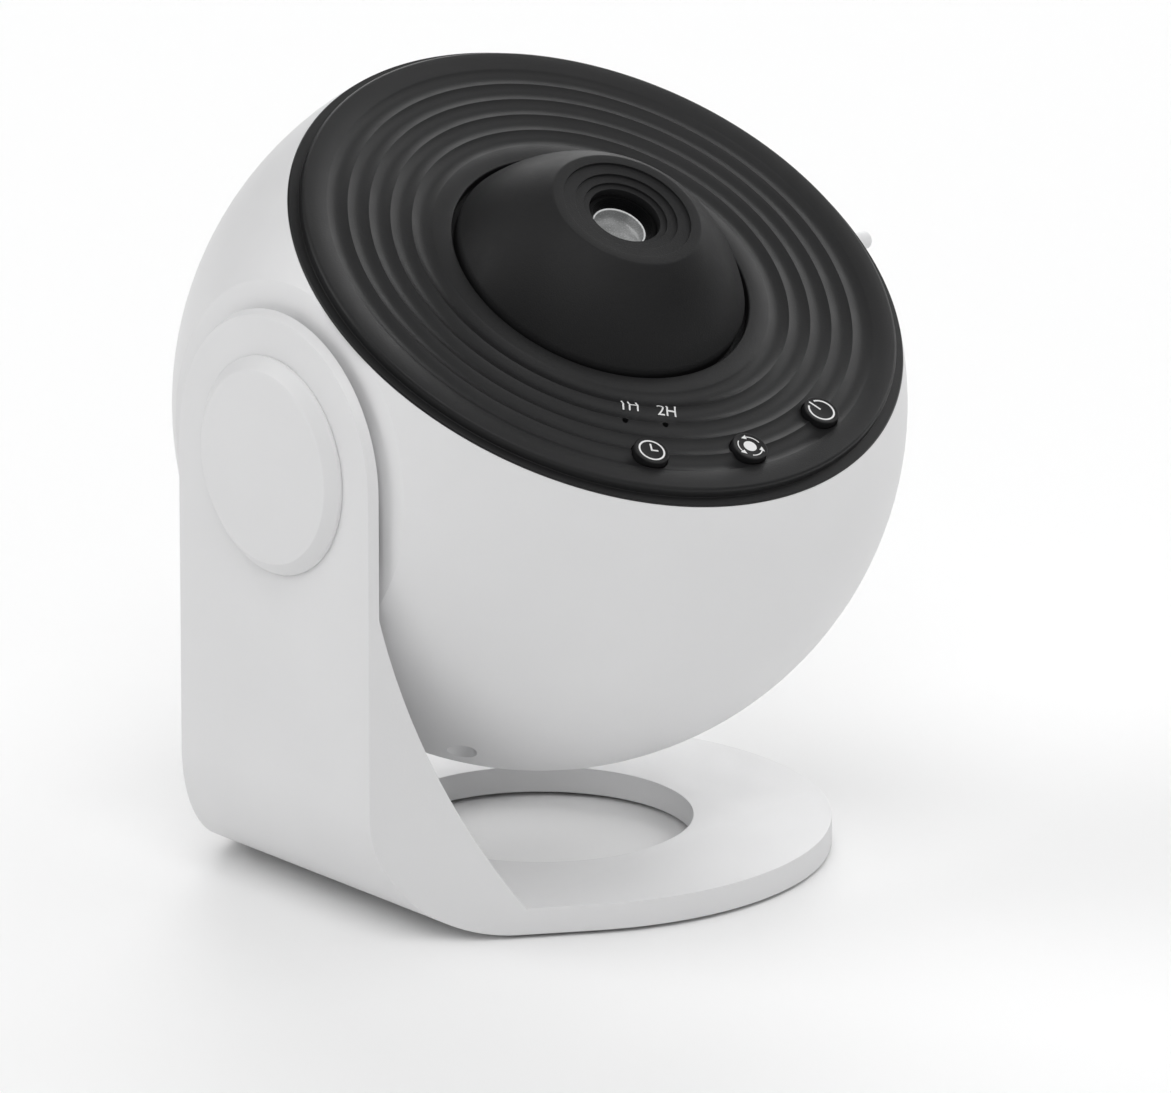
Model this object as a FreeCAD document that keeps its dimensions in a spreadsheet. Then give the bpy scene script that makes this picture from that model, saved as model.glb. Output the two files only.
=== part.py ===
"""Planetarium projector: a white ball head with a black rippled face, on a one-armed stand.

The ball turns about one pivot in the arm, so the face tilts from straight up to the wall and
beyond. The head is drawn upright about its own centre, with the face towards +Z, and its
pieces are then tilted and lifted onto the pivot by one shared placement.
World frame: millimetres, +Z up, the floor at zero, and the origin under the middle of the whole
object, from the pivot cap to the end of the tray's knob. The front is towards -Y. The pivot
axis is parallel to X, with the arm on the -X side.
"""
import FreeCAD, Part
import Sketcher
import math
import os
import re

Vec = FreeCAD.Vector

# Driving dimensions, in millimetres and degrees. Each is one cell of the sheet.
SIZES = dict(
    # stand
    pad_height=0.8, base_height=5.2, ball_lift=12.2, base_radius=56.0,
    base_ring_width=26.6, arm_thickness=1.8, arm_half_width=28.7, arm_gap=2.1,
    heel_radius=25.0, inner_bow_radius=160.5, inner_bow_sink=3.1, inner_bow_rise=7.7,
    pocket_radius=37.2, stand_wall=2.0, base_skin=1.8, cavity_drop=46.0,
    base_cover_thickness=1.4, weight_thickness=1.8, weight_gap=0.1,
    pad_inner_edge=3.6, pad_outer_edge=4.0,
    base_screw_inset=9.50654,
    # pivot, measured outwards from the ball's centre along the axis
    flat_depth=9.2, dish_radius=22.0, dish_depth=6.2, pivot_block_floor=4.0,
    arm_boss_radius=20.0, hub_stack_height=3.6, arm_boss_thickness=2.2, cap_recess_radius=19.0,
    hub_radius=8.0, hub_flange_radius=15.0, hub_flange_thickness=2.4, hub_bore_radius=2.5,
    retainer_radius=14.0, spring_room=1.6, retainer_thickness=1.2,
    spring_outer_radius=13.0, spring_thickness=0.6, hub_screw_inset=4.0, retaining_screw_inset=2.6,
    cap_radius=22.2, cap_rise=2.5, cap_edge_round=2.3, cap_wall=1.4, cap_spigot_length=3.2,
    cap_spigot_wall=1.5, stop_pin_radius=1.5, stop_pin_inset=4.4, stop_pin_reach=1.4,
    stop_groove_half_width=1.7, stop_groove_depth=1.8, tilt_each_way=120.0, stop_spare_angle=0.6,
    rest_tilt=30.7,
    # ball shell
    ball_radius=70.0, shell_wall=2.4, rim_level=33.3, shell_screw_inset=3.62, shell_screw_angle=53.13,
    shell_screw_seat=35.0, shell_tube_top=29.0, shell_tube_radius=4.4, shell_recess_radius=2.75,
    # rippled face cover
    cover_rise=2.6, cover_thickness=2.2, lip_width=2.17, lip_thickness=0.5, lip_slope=0.3,
    skirt_inset=0.8, skirt_wall=1.8, skirt_drop=4.8, cone_gap=1.0,
    opening_rim=3.8, rim_flat=4.75, ripple_count=5, ripple_depth=0.6, post_radius=3.2,
    # focus cone and lens barrel
    cone_rim_rise=17.8, cone_rim_radius=14.55, cone_rim_round=2.0, cone_round_angle=32.5,
    cone_base_radius=28.6, cone_base_rise=3.0, cone_flank_radius=36.7, cone_wall=1.8,
    cone_flange_overlap=1.4, cone_flange_thickness=1.5, cone_flange_gap=0.3,
    crater_step_height=0.5, crater_step_one=12.7, crater_step_two=10.2, crater_step_three=8.3,
    lens_bore_radius=7.05, sleeve_radius=9.0, sleeve_rise=0.7, focus_clearance=0.08,
    barrel_top_drop=2.9, barrel_length=15.4, barrel_pin_radius=1.0, barrel_pin_rise=2.6,
    barrel_mouth_radius=6.1, front_lens_radius=5.3, front_lens_drop=1.5, lens_thickness=2.6,
    lens_bulge=0.7, rear_lens_radius=5.8, barrel_step_radius=4.5, lens_clearance=0.04,
    focus_out_travel=2.5, focus_in_travel=3.5, focus_turn=120.0,
    # decks inside the head
    deck_gap=3.8, deck_thickness=1.6, optics_deck_drop=4.1, guide_wall=1.5,
    guide_tube_drop=6.6, rib_inset=0.6, rib_wall=1.4, rib_gap=0.3, deck_side_gap=0.8,
    deck_spacing=11.2, film_deck_thickness=2.0, film_deck_hole=13.0,
    pillar_inset=2.79, pillar_rail_gap=0.65, pillar_radius=3.4, pillar_hole_radius=1.5,
    rail_thickness=1.75, rail_height=4.1, rail_lip_reach=1.85, rail_lip_thickness=1.25,
    rail_start=22.0, rail_end=46.0,
    # film tray
    tray_gap=0.1, tray_thickness=2.4, tray_edge=2.5, tray_back_edge=1.0, tray_corner=20.0,
    collar_inset=1.1, collar_wall=1.3, collar_gap=0.15, slot_side_gap=1.2,
    slot_rise=1.3, slot_height=10.1, slot_clearance=0.25, door_wall=2.2, knob_radius=1.7,
    knob_rise=6.3, knob_proud=5.37, knob_seat_depth=1.4, knob_round=0.6, tray_travel=60.0,
    gear_module=0.7, ring_tooth_count=74, pinion_tooth_count=12, gear_backlash=0.09,
    ring_gap=0.2, ring_height=4.1, film_ledge=2.6, ring_shelf_thickness=0.85,
    film_seat_depth=0.8, ring_wall=1.925, film_thickness=0.4, film_clearance=0.1,
    spin_clearance=0.08,
    # disc motor
    motor_radius=9.8, motor_height=13.9, motor_ear_thickness=1.0,
    motor_ear_half_width=3.6, motor_ear_reach=15.0, motor_screw_reach=12.2, motor_boss_radius=4.0,
    motor_boss_height=1.6, motor_shaft_radius=1.5, shaft_seat_depth=3.0, shaft_end=0.6,
    pinion_gap=0.3,
    # lamp
    lamp_outer_radius=16.5, lamp_wall=2.0, lamp_height=26.95, lamp_flange_thickness=1.6,
    lamp_ear_reach=4.0, lamp_ear_radius=3.2, lens_ledge_depth=9.95, lens_ledge_thickness=1.0,
    lens_ledge_radius=12.6, condenser_thickness=5.2, condenser_edge=1.6, lamp_gap=0.05,
    led_board_thickness=1.5, led_radius=3.0, led_height=3.2, sink_radius=16.4,
    sink_base_thickness=3.4, sink_height=15.3, fin_slot_width=2.5, fin_pitch=4.8,
    fin_slot_count=6, sink_ear_reach=2.8, sink_ear_radius=2.7, lamp_lug_height=7.0,
    # electronics in the bottom of the head
    board_depth=28.4, board_thickness=1.6, board_half_width=22.0, board_length=39.0,
    board_usb_step=4.0, board_screw_x=18.0, board_screw_inset=5.0, standoff_radius=3.0,
    usb_half_width=4.47, usb_height=3.2, usb_length=7.3, usb_inset=5.3, usb_wall=0.3,
    usb_tongue_half_width=3.3, usb_tongue_thickness=0.7, usb_tongue_length=6.0,
    usb_block_half_width=9.0, usb_block_depth=2.4, usb_block_rise=4.2, usb_pocket_half_width=6.4,
    usb_pocket_half_height=3.4, usb_clearance=0.2,
    # buttons and indicator lamps in the face
    button_inset=5.0, button_spread=24.2, button_radius=3.5, button_rise=1.4, button_edge=0.5,
    button_hole_clearance=0.2, button_flange_radius=4.4, button_flange_thickness=0.8,
    button_flange_gap=0.1, button_travel=0.7, key_board_drop=5.6, key_board_thickness=1.2,
    key_board_depth=15.9, key_board_gap=1.3, key_board_half_angle=31.5, key_screw_inset=7.5,
    key_screw_angle=12.0, key_boss_radius=2.3, switch_side=6.0, switch_height=2.5,
    plunger_radius=1.6, plunger_sink=1.7, switch_hole_clearance=0.1, lamp_pin_inset=2.4,
    lamp_pin_one=28.7, lamp_pin_two=17.6, lamp_pin_radius=0.6, lamp_pin_drop=1.3,
    lamp_body_side=2.2, lamp_body_height=1.0, pin_hole_clearance=0.1,
    deck_notch_gap=1.2, deck_notch_spare_angle=3.0,
    # screws: shank radius, head radius and head height
    small_shank=0.9, small_head=1.8, small_head_height=1.2, screw_shank=1.25, screw_head=2.3,
    screw_head_height=1.8, thread_bite=2.0, screw_hole_clearance=0.25,
    # leads
    lead_radius=0.8, lead_bend=5.0,
    # one overrun for every cut
    overrun=1.0,
)

# Sizes that follow from the ones above. They are expressions, not cells.
WORKED_OUT = dict(
    base_top="pad_height + base_height",
    ball_level="pad_height + base_height + centre_above_base",
    ball_x="(arm_face + cap_rise - knob_reach) / 2",
    centre_above_base="ball_radius + ball_lift",
    flat_face="ball_radius - flat_depth",
    arm_inner_face="flat_face + arm_gap",
    arm_face="arm_inner_face + arm_thickness",
    inner_bow_x="inner_bow_radius - inner_bow_sink - arm_inner_face",
    pad_inner_radius="base_hole_radius + pad_inner_edge",
    pad_outer_radius="base_radius - pad_outer_edge",
    base_hole_radius="base_radius - base_ring_width",
    base_screw_place="(base_hole_radius + base_radius) / 2 * sin(45)",
    base_screw_back="heel_radius - arm_face + base_screw_inset",
    dish_floor="flat_face - dish_depth",
    pivot_block_inner="dish_floor - pivot_block_floor",
    arm_boss_inner="dish_floor + hub_stack_height",
    arm_boss_floor="arm_boss_inner + arm_boss_thickness",
    retainer_inner="arm_boss_floor + spring_room",
    stop_pin_end="dish_floor - stop_pin_reach",
    stop_groove_floor="dish_floor - stop_groove_depth",
    shell_screw_circle="sqrt(ball_radius ^ 2 - shell_screw_seat ^ 2) - shell_screw_inset",
    shell_screw_x="shell_screw_circle * cos(shell_screw_angle)",
    shell_screw_y="shell_screw_circle * sin(shell_screw_angle)",
    cover_radius="rim_radius - lip_width",
    skirt_radius="cover_radius - skirt_inset",
    opening_radius="cone_base_radius + cone_gap",
    ripple_inner_radius="opening_radius + opening_rim",
    cone_flange_radius="opening_radius + cone_flange_overlap",
    deck_radius="skirt_radius - skirt_wall - deck_gap",
    rib_radius="cone_flange_radius - rib_inset",
    deck_side_cut="pivot_block_inner - deck_side_gap",
    pillar_y="tray_half_width + tray_gap + rail_thickness + pillar_rail_gap + pillar_radius",
    pillar_x="sqrt((deck_radius - pillar_inset) ^ 2 - pillar_y ^ 2)",
    knob_reach="sqrt(ball_radius ^ 2 - knob_level ^ 2) + knob_proud",
    board_level="board_depth - ball_radius",
    usb_end="sqrt(ball_radius ^ 2 - board_level ^ 2) - usb_inset",
    usb_start="usb_end - usb_length",
    usb_block_start="usb_end - usb_block_depth",
    board_back="usb_end - board_usb_step",
    board_front="board_back - board_length",
    key_board_outer="skirt_radius - skirt_wall - key_board_gap",
    key_board_inner="key_board_outer - key_board_depth",
    button_ring="key_board_outer - button_inset",
    key_screw_ring="key_board_outer - key_screw_inset",
    lamp_pin_ring="key_board_inner + lamp_pin_inset",
    deck_notch_inner="key_board_inner - deck_notch_gap",
    deck_notch_half_angle="key_board_half_angle + deck_notch_spare_angle",
    plan_slope="asin(base_radius / hypot(arm_face; arm_half_width)) - atan(arm_half_width / arm_face)",
    hub_screw_ring="hub_flange_radius - hub_screw_inset",
    retaining_screw_ring="hub_radius - retaining_screw_inset",
    stop_pin_ring="dish_radius - stop_pin_inset",
    lamp_ear_ring="lamp_outer_radius + lamp_ear_reach",
    sink_ear_ring="sink_radius + sink_ear_reach",
    ripple_width="(cover_radius - rim_flat - ripple_inner_radius) / ripple_count",
    optics_deck_level="rim_level - optics_deck_drop",
    film_deck_level="optics_deck_level - deck_spacing",
    key_board_level="rim_level - key_board_drop",
    lamp_pin_top="cover_top - lamp_pin_drop",
    sleeve_bottom="optics_deck_level + sleeve_rise",
    guide_tube_top="cone_rim - guide_tube_drop",
    barrel_pin_level="barrel_top - barrel_length + barrel_pin_rise",
    slot_bottom="film_deck_level + slot_rise",
    slot_top="slot_bottom + slot_height",
    slot_half_width="tray_half_width + slot_side_gap",
    knob_level="film_deck_top + knob_rise",
    ring_bottom="tray_top + ring_gap",
    ring_top="ring_bottom + ring_height",
    ring_shelf_top="ring_top - film_seat_depth",
    ring_shelf_bottom="ring_shelf_top - ring_shelf_thickness",
    collar_top="ring_shelf_bottom - collar_gap",
    shaft_top="ring_top + shaft_end",
    pinion_bottom="ring_bottom + pinion_gap",
    lamp_bottom="lamp_top - lamp_height",
    lens_ledge_level="lamp_top - lens_ledge_depth",
    tray_half_width="ring_pitch_radius + gear_module + tray_edge",
    tray_back="ring_pitch_radius + gear_module + tray_back_edge",
    film_radius="ring_pitch_radius - gear_module * 1.25 - ring_wall - film_clearance",
    ring_shelf_radius="film_radius - film_ledge",
    tray_light_radius="ring_shelf_radius + collar_inset",
    cover_top="rim_level + cover_rise",
    cover_under="rim_level + cover_rise - cover_thickness",
    cone_rim="rim_level + cone_rim_rise",
    shell_inner="ball_radius - shell_wall",
    flat_radius="sqrt(ball_radius ^ 2 - flat_face ^ 2)",
    rim_radius="sqrt(ball_radius ^ 2 - rim_level ^ 2)",
    sleeve_clear_radius="sleeve_radius + focus_clearance",
    barrel_radius="lens_bore_radius - focus_clearance",
    barrel_top="rim_level + cone_rim_rise - barrel_top_drop",
    deck_top="optics_deck_level + deck_thickness",
    film_deck_top="film_deck_level + film_deck_thickness",
    tray_bottom="film_deck_level + film_deck_thickness + tray_gap",
    tray_top="film_deck_level + film_deck_thickness + tray_gap + tray_thickness",
    ring_pitch_radius="gear_module * ring_tooth_count / 2",
    pinion_pitch_radius="gear_module * pinion_tooth_count / 2",
    motor_x="0 - gear_module * (ring_tooth_count + pinion_tooth_count) / 2",
    lamp_top="film_deck_level - lamp_gap",
    board_top="board_level + board_thickness",
    key_board_top="key_board_level + key_board_thickness",
)

doc = FreeCAD.newDocument("projector")
sheet = doc.addObject("Spreadsheet::Sheet", "Sizes")
for row, (name, value) in enumerate(SIZES.items(), start=1):
    sheet.set("A%d" % row, name)
    sheet.set("B%d" % row, str(value))
    sheet.setAlias("B%d" % row, name)
doc.recompute()

NODES = []
WORD = re.compile(r"[a-z][a-z_]*")


def expr(text):
    """Turn plain size names into references to the sheet, with worked-out sizes in brackets."""
    def swap(match):
        word = match.group(0)
        if word in SIZES:
            return "Sizes." + word
        if word in WORKED_OUT:
            return "(" + expr(WORKED_OUT[word]) + ")"
        return word
    return WORD.sub(swap, str(text))


def val(text):
    """The number that an expression has now."""
    return float(sheet.evalExpression(expr(text)))


def bind(obj, **properties):
    """Tie properties to expressions. A double underscore in a name stands for a dot."""
    for key, text in properties.items():
        obj.setExpression(key.replace("__", "."), expr(text))
    return obj


def place(obj, x="0", y="0", z="0", axis=None, angle="0"):
    """Put an object at a bound place, turned by a bound angle about a fixed axis."""
    if axis is not None:
        obj.Placement = FreeCAD.Placement(Vec(), FreeCAD.Rotation(Vec(*axis), val(angle)))
        bind(obj, Placement__Rotation__Angle=angle)
    return bind(obj, Placement__Base__x=x, Placement__Base__y=y, Placement__Base__z=z)


def box(name, x0, x1, y0, y1, z0, z1):
    """A box between bound limits."""
    obj = doc.addObject("Part::Box", name)
    bind(obj, Length="(%s) - (%s)" % (x1, x0), Width="(%s) - (%s)" % (y1, y0),
         Height="(%s) - (%s)" % (z1, z0))
    return place(obj, x0, y0, z0)


def upright(name, radius, z0, z1, x="0", y="0"):
    """A cylinder along Z between two levels."""
    obj = doc.addObject("Part::Cylinder", name)
    bind(obj, Radius=radius, Height="(%s) - (%s)" % (z1, z0))
    return place(obj, x, y, z0)


def across(name, radius, s0, s1, y="0", z="0"):
    """A cylinder along the pivot axis, between two distances out from the ball's centre."""
    obj = doc.addObject("Part::Cylinder", name)
    bind(obj, Radius=radius, Height="(%s) - (%s)" % (s1, s0))
    obj.Placement = FreeCAD.Placement(Vec(), FreeCAD.Rotation(Vec(0, 1, 0), 90))
    return bind(obj, Placement__Base__x="0 - (%s)" % s1, Placement__Base__y=y, Placement__Base__z=z)


def ball(name, radius):
    """A sphere about the head's centre."""
    obj = doc.addObject("Part::Sphere", name)
    return bind(obj, Radius=radius)


def cut(name, base, *tools):
    """Take tools away from a base."""
    tool = tools[0] if len(tools) == 1 else fuse(name + "_tools", *tools)
    obj = doc.addObject("Part::Cut", name)
    obj.Base = base
    obj.Tool = tool
    return obj


def fuse(name, *parts):
    """Join solids into one."""
    obj = doc.addObject("Part::MultiFuse", name)
    obj.Shapes = list(parts)
    obj.Refine = True
    return obj


def common(name, *parts):
    """Keep what all the solids share."""
    obj = doc.addObject("Part::MultiCommon", name)
    obj.Shapes = list(parts)
    return obj


def group(name, parts):
    """Separate solids that share one node."""
    obj = doc.addObject("Part::Compound", name)
    obj.Links = list(parts)
    return obj


def draw(body, name, plane, points, close=True):
    """A sketch of straight lines and arcs on one of the body's origin planes.

    Each point is (x, y) or (x, y, radius, side) in expressions. With a radius, the way to
    the next point is an arc that bulges to the right (side 1) or to the left (side -1).
    """
    sketch = body.newObject("Sketcher::SketchObject", name)
    origin = [f for f in body.Origin.OriginFeatures if getattr(f, "Role", "") == plane][0]
    sketch.AttachmentSupport = [(origin, "")]
    sketch.MapMode = "FlatFace"
    spots = [Vec(val(p[0]), val(p[1]), 0) for p in points]
    ends = []
    for i, point in enumerate(points):
        a, b = spots[i], spots[(i + 1) % len(points)]
        if len(point) == 2:
            sketch.addGeometry(Part.LineSegment(a, b), False)
            ends.append((1, 2))
            continue
        radius, side = val(point[2]), point[3]
        half = (b - a) / 2
        left = Vec(-half.y, half.x, 0).normalize()
        reach = math.sqrt(max(radius ** 2 - half.Length ** 2, 0))
        centre = a + half + left * (reach * side)
        first, last = (a, b) if side > 0 else (b, a)
        start = math.atan2(first.y - centre.y, first.x - centre.x)
        stop = math.atan2(last.y - centre.y, last.x - centre.x)
        stop = stop if stop > start else stop + 2 * math.pi
        circle = Part.Circle(centre, Vec(0, 0, 1), radius)
        sketch.addGeometry(Part.ArcOfCircle(circle, start, stop), False)
        ends.append((1, 2) if side > 0 else (2, 1))
    for i, point in enumerate(points):
        begin = ends[i][0]
        before = (i - 1) % len(points)
        sketch.addConstraint(Sketcher.Constraint("Coincident", before, ends[before][1], i, begin))
        for kind, text, rest in (("DistanceX", point[0], -2), ("DistanceY", point[1], -1)):
            value = val(text)
            if abs(value) < 1e-9:
                sketch.addConstraint(Sketcher.Constraint("PointOnObject", i, begin, rest))
                continue
            index = sketch.addConstraint(Sketcher.Constraint(kind, -1, 1, i, begin, value))
            sketch.setExpression("Constraints[%d]" % index, expr(text))
        if len(point) > 2:
            index = sketch.addConstraint(Sketcher.Constraint("Radius", i, val(point[2])))
            sketch.setExpression("Constraints[%d]" % index, expr(point[2]))
    return sketch


def turned(name, points, plane="XZ_Plane", axis="V_Axis"):
    """A body turned about an axis of its sketch."""
    body = doc.addObject("PartDesign::Body", name)
    sketch = draw(body, name + "_outline", plane, points)
    solid = body.newObject("PartDesign::Revolution", name + "_turn")
    solid.Profile = sketch
    solid.ReferenceAxis = (sketch, [axis])
    solid.Angle = 360
    return body


def slab(name, points, length, plane="XY_Plane", middle=False):
    """A body padded from an outline."""
    body = doc.addObject("PartDesign::Body", name)
    sketch = draw(body, name + "_outline", plane, points)
    solid = body.newObject("PartDesign::Pad", name + "_pad")
    solid.Profile = sketch
    solid.SideType = "Symmetric" if middle else "One side"
    bind(solid, Length=length)
    return body


def ring(inner, outer, low, high):
    """The outline of a plain ring between two radii and two levels."""
    return [(inner, low), (outer, low), (outer, high), (inner, high)]


def sector(name, radius, z0, z1, middle, half_angle):
    """A slice of a cylinder about Z, centred on a direction."""
    obj = doc.addObject("Part::Cylinder", name)
    bind(obj, Radius=radius, Height="(%s) - (%s)" % (z1, z0), Angle="2 * (%s)" % half_angle)
    return place(obj, z=z0, axis=(0, 0, 1), angle="(%s) - (%s)" % (middle, half_angle))


def polar(ring_radius, angle):
    """Bound X and Y of a spot on a circle, with the angle measured from +X."""
    return "(%s) * cos(%s)" % (ring_radius, angle), "(%s) * sin(%s)" % (ring_radius, angle)


def screw(name, x, y, z, way, length, size="screw"):
    """A screw along Z. Its head sits against level z and its shank goes the given way."""
    head_height = size + "_head_height"
    if way > 0:
        head = upright(name + "_head", size + "_head", "(%s) - %s" % (z, head_height), z, x, y)
        shank = upright(name + "_shank", size + "_shank", z, "(%s) + (%s)" % (z, length), x, y)
    else:
        head = upright(name + "_head", size + "_head", z, "(%s) + %s" % (z, head_height), x, y)
        shank = upright(name + "_shank", size + "_shank", "(%s) - (%s)" % (z, length), z, x, y)
    return fuse(name, head, shank)


def side_screw(name, y, z, s, way, length, size="small"):
    """A screw along the pivot axis, with its head against distance s."""
    head_height = size + "_head_height"
    if way > 0:
        head = across(name + "_head", size + "_head", "(%s) - %s" % (s, head_height), s, y, z)
        shank = across(name + "_shank", size + "_shank", s, "(%s) + (%s)" % (s, length), y, z)
    else:
        head = across(name + "_head", size + "_head", s, "(%s) + %s" % (s, head_height), y, z)
        shank = across(name + "_shank", size + "_shank", "(%s) - (%s)" % (s, length), s, y, z)
    return fuse(name, head, shank)


def rounded(name, base, radius, pick):
    """Round the edges that pick() chooses, by their present places."""
    doc.recompute()
    chosen = [i for i, edge in enumerate(base.Shape.Edges, start=1) if pick(edge)]
    obj = doc.addObject("Part::Fillet", name)
    obj.Base = base
    obj.Edges = [(i, val(radius), val(radius)) for i in chosen]
    return obj


def node(obj, label, lift=None, tilt=False):
    """Name a finished piece, and lift it or carry it into the tilted head."""
    obj.Label = label
    if tilt:
        turn = FreeCAD.Rotation(Vec(1, 0, 0), val("rest_tilt"))
        obj.Placement = FreeCAD.Placement(Vec(), turn)
        bind(obj, Placement__Rotation__Angle="rest_tilt", Placement__Base__z="ball_level")
    elif lift:
        bind(obj, Placement__Base__z=lift)
    bind(obj, Placement__Base__x="ball_x")
    NODES.append(obj)
    return obj


FOUR_CORNERS = [(1, 1), (-1, 1), (-1, -1), (1, -1)]
THREE_WAYS = [0, 120, 240]
BUTTON_ANGLES = dict(timer="270 - button_spread", rotate="270", power="270 + button_spread")


def signed(sign, text):
    """The expression, or its negative."""
    return text if sign > 0 else "0 - (%s)" % text


# Stand


def stand_plan(name, inset, height):
    """The stand seen from above, drawn in by an inset: a disc with straight tangents to the arm."""
    radius = "base_radius - %s" % inset
    corner_x = "0 - (arm_face - %s)" % inset
    corner_y = "(arm_half_width + %s * tan(plan_slope) - %s / cos(plan_slope))" % (inset, inset)
    touch_x = "0 - (%s) * sin(plan_slope)" % radius
    touch_y = "(%s) * cos(plan_slope)" % radius
    points = [(corner_x, "0 - " + corner_y), (touch_x, "0 - " + touch_y, radius, 1),
              (radius, "0", radius, 1), (touch_x, touch_y), (corner_x, corner_y)]
    return slab(name, points, height)


def stand_profile(name, inset, top):
    """The stand seen from the front, about the pivot: heel arc, thin arm and bowed inner side."""
    floor = "(0 - centre_above_base - base_height)"
    deck = "(0 - centre_above_base - %s)" % ("base_skin" if inset != "0" else "0")
    face = "0 - (arm_face - %s)" % inset
    bow = "(inner_bow_radius + %s)" % inset
    inner = "0 - arm_inner_face" if inset == "0" else "0 - (arm_face - %s)" % inset
    heel_x = "(heel_radius - arm_face)"
    heel = "(heel_radius - %s)" % inset
    bow_foot = "inner_bow_x - sqrt(%s ^ 2 - (%s - inner_bow_rise) ^ 2)" % (bow, deck)
    if inset == "0":
        knee = "inner_bow_rise - sqrt(%s ^ 2 - (inner_bow_x + arm_inner_face) ^ 2)" % bow
        upper = [(inner, knee), (inner, top), (face, top)]
    else:
        bow_top = "inner_bow_x - sqrt(%s ^ 2 - (%s - inner_bow_rise) ^ 2)" % (bow, top)
        upper = [(bow_top, top), (face, top)]
    lower = [(face, "%s + heel_radius" % floor, heel, 1), (heel_x, "%s + %s" % (floor, inset))]
    if inset != "0":
        lower.append((heel_x, "%s - overrun" % floor))
    end = "base_radius + overrun"
    low = "%s - overrun" % floor if inset != "0" else floor
    lower += [(end, low), (end, deck), (bow_foot, deck, bow, -1)]
    return slab(name, lower + upper, "2 * (base_radius + arm_face)", "XZ_Plane", middle=True)


def base_screw_spots():
    """Places of the base's four screws: two in the ring, and two beside the arm's heel."""
    return [(x, signed(sy, "base_screw_place")) for x in ("base_screw_place", "base_screw_back")
            for sy in (1, -1)]


def make_stand():
    plan = stand_plan("stand_plan_solid", "0", "2 * ball_level")
    bind(plan, Placement__Base__z="0 - ball_level")
    profile = stand_profile("stand_profile_solid", "0", "arm_half_width + arm_face")
    head = doc.addObject("Part::Cone", "arm_top")
    reach = "(arm_face - pivot_block_inner)"
    bind(head, Radius1="arm_half_width", Radius2="arm_half_width + %s * tan(plan_slope)" % reach,
         Height=reach)
    head.Placement = FreeCAD.Placement(Vec(), FreeCAD.Rotation(Vec(0, 1, 0), 90))
    bind(head, Placement__Base__x="0 - arm_face")
    wide = "(base_radius + arm_face)"
    below = box("below_pivot", "0 - " + wide, wide, "0 - " + wide, wide, "0 - ball_level", "0")
    outer = common("stand_outer", plan, profile, fuse("front_envelope", head, below))
    pocket = across("ball_pocket", "pocket_radius", "0", "arm_inner_face")
    boss = across("arm_boss", "arm_boss_radius", "arm_boss_inner", "arm_inner_face + lens_clearance")
    stop = across("stop_pin", "stop_pin_radius", "stop_pin_end", "arm_boss_inner + lens_clearance",
                  z="0 - stop_pin_ring")
    body = fuse("stand_body", cut("stand_cleared", outer, pocket), boss, stop)
    recess = across("cap_recess", "cap_recess_radius", "arm_boss_floor", "arm_face + overrun")
    hub_hole = across("arm_hub_hole", "hub_radius + focus_clearance", "arm_boss_inner - overrun",
                      "arm_face")
    floor = "(0 - centre_above_base - base_height)"
    hole = upright("base_hole", "base_hole_radius", floor + " - overrun",
                   "0 - centre_above_base + overrun")
    room_plan = stand_plan("room_plan", "stand_wall", "ball_level")
    bind(room_plan, Placement__Base__z="0 - ball_level - overrun")
    room_profile = stand_profile("room_profile", "stand_wall", "0 - cavity_drop")
    collar = upright("hole_collar", "base_hole_radius + stand_wall", floor + " - overrun",
                     "0 - centre_above_base")
    room = cut("room", common("room_blank", room_plan, room_profile), collar,
               *[upright("base_boss_%d" % i, "screw_head + weight_gap",
                         floor + " + base_cover_thickness + weight_gap", "0 - centre_above_base",
                         x, y) for i, (x, y) in enumerate(base_screw_spots())])
    holes = [upright("base_thread_%d" % i, "small_shank", floor,
                     "0 - centre_above_base - base_skin + overrun / 2", x, y)
             for i, (x, y) in enumerate(base_screw_spots())]
    stand = cut("stand_bracket", body, recess, hub_hole, hole, room, *holes)
    node(stand, "stand_bracket", lift="ball_level")


def base_plate(name, low, high, clearance, hole_clearance):
    """A plate that fits the opening under the base."""
    plan = stand_plan(name + "_plan", "(stand_wall + %s)" % clearance, "(%s) - (%s)" % (high, low))
    bind(plan, Placement__Base__z=low)
    wide = "base_radius + arm_face"
    keep = box(name + "_keep", "heel_radius - arm_face + " + clearance, wide, "0 - (%s)" % wide, wide,
               "0 - overrun", "ball_level")
    hole = upright(name + "_hole", "base_hole_radius + stand_wall + %s" % clearance,
                   "0 - overrun", "ball_level")
    holes = [upright("%s_screw_%d" % (name, i), hole_clearance, "0 - overrun", "ball_level", x, y)
             for i, (x, y) in enumerate(base_screw_spots())]
    return cut(name, common(name + "_blank", plan, keep), hole, *holes)


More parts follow.
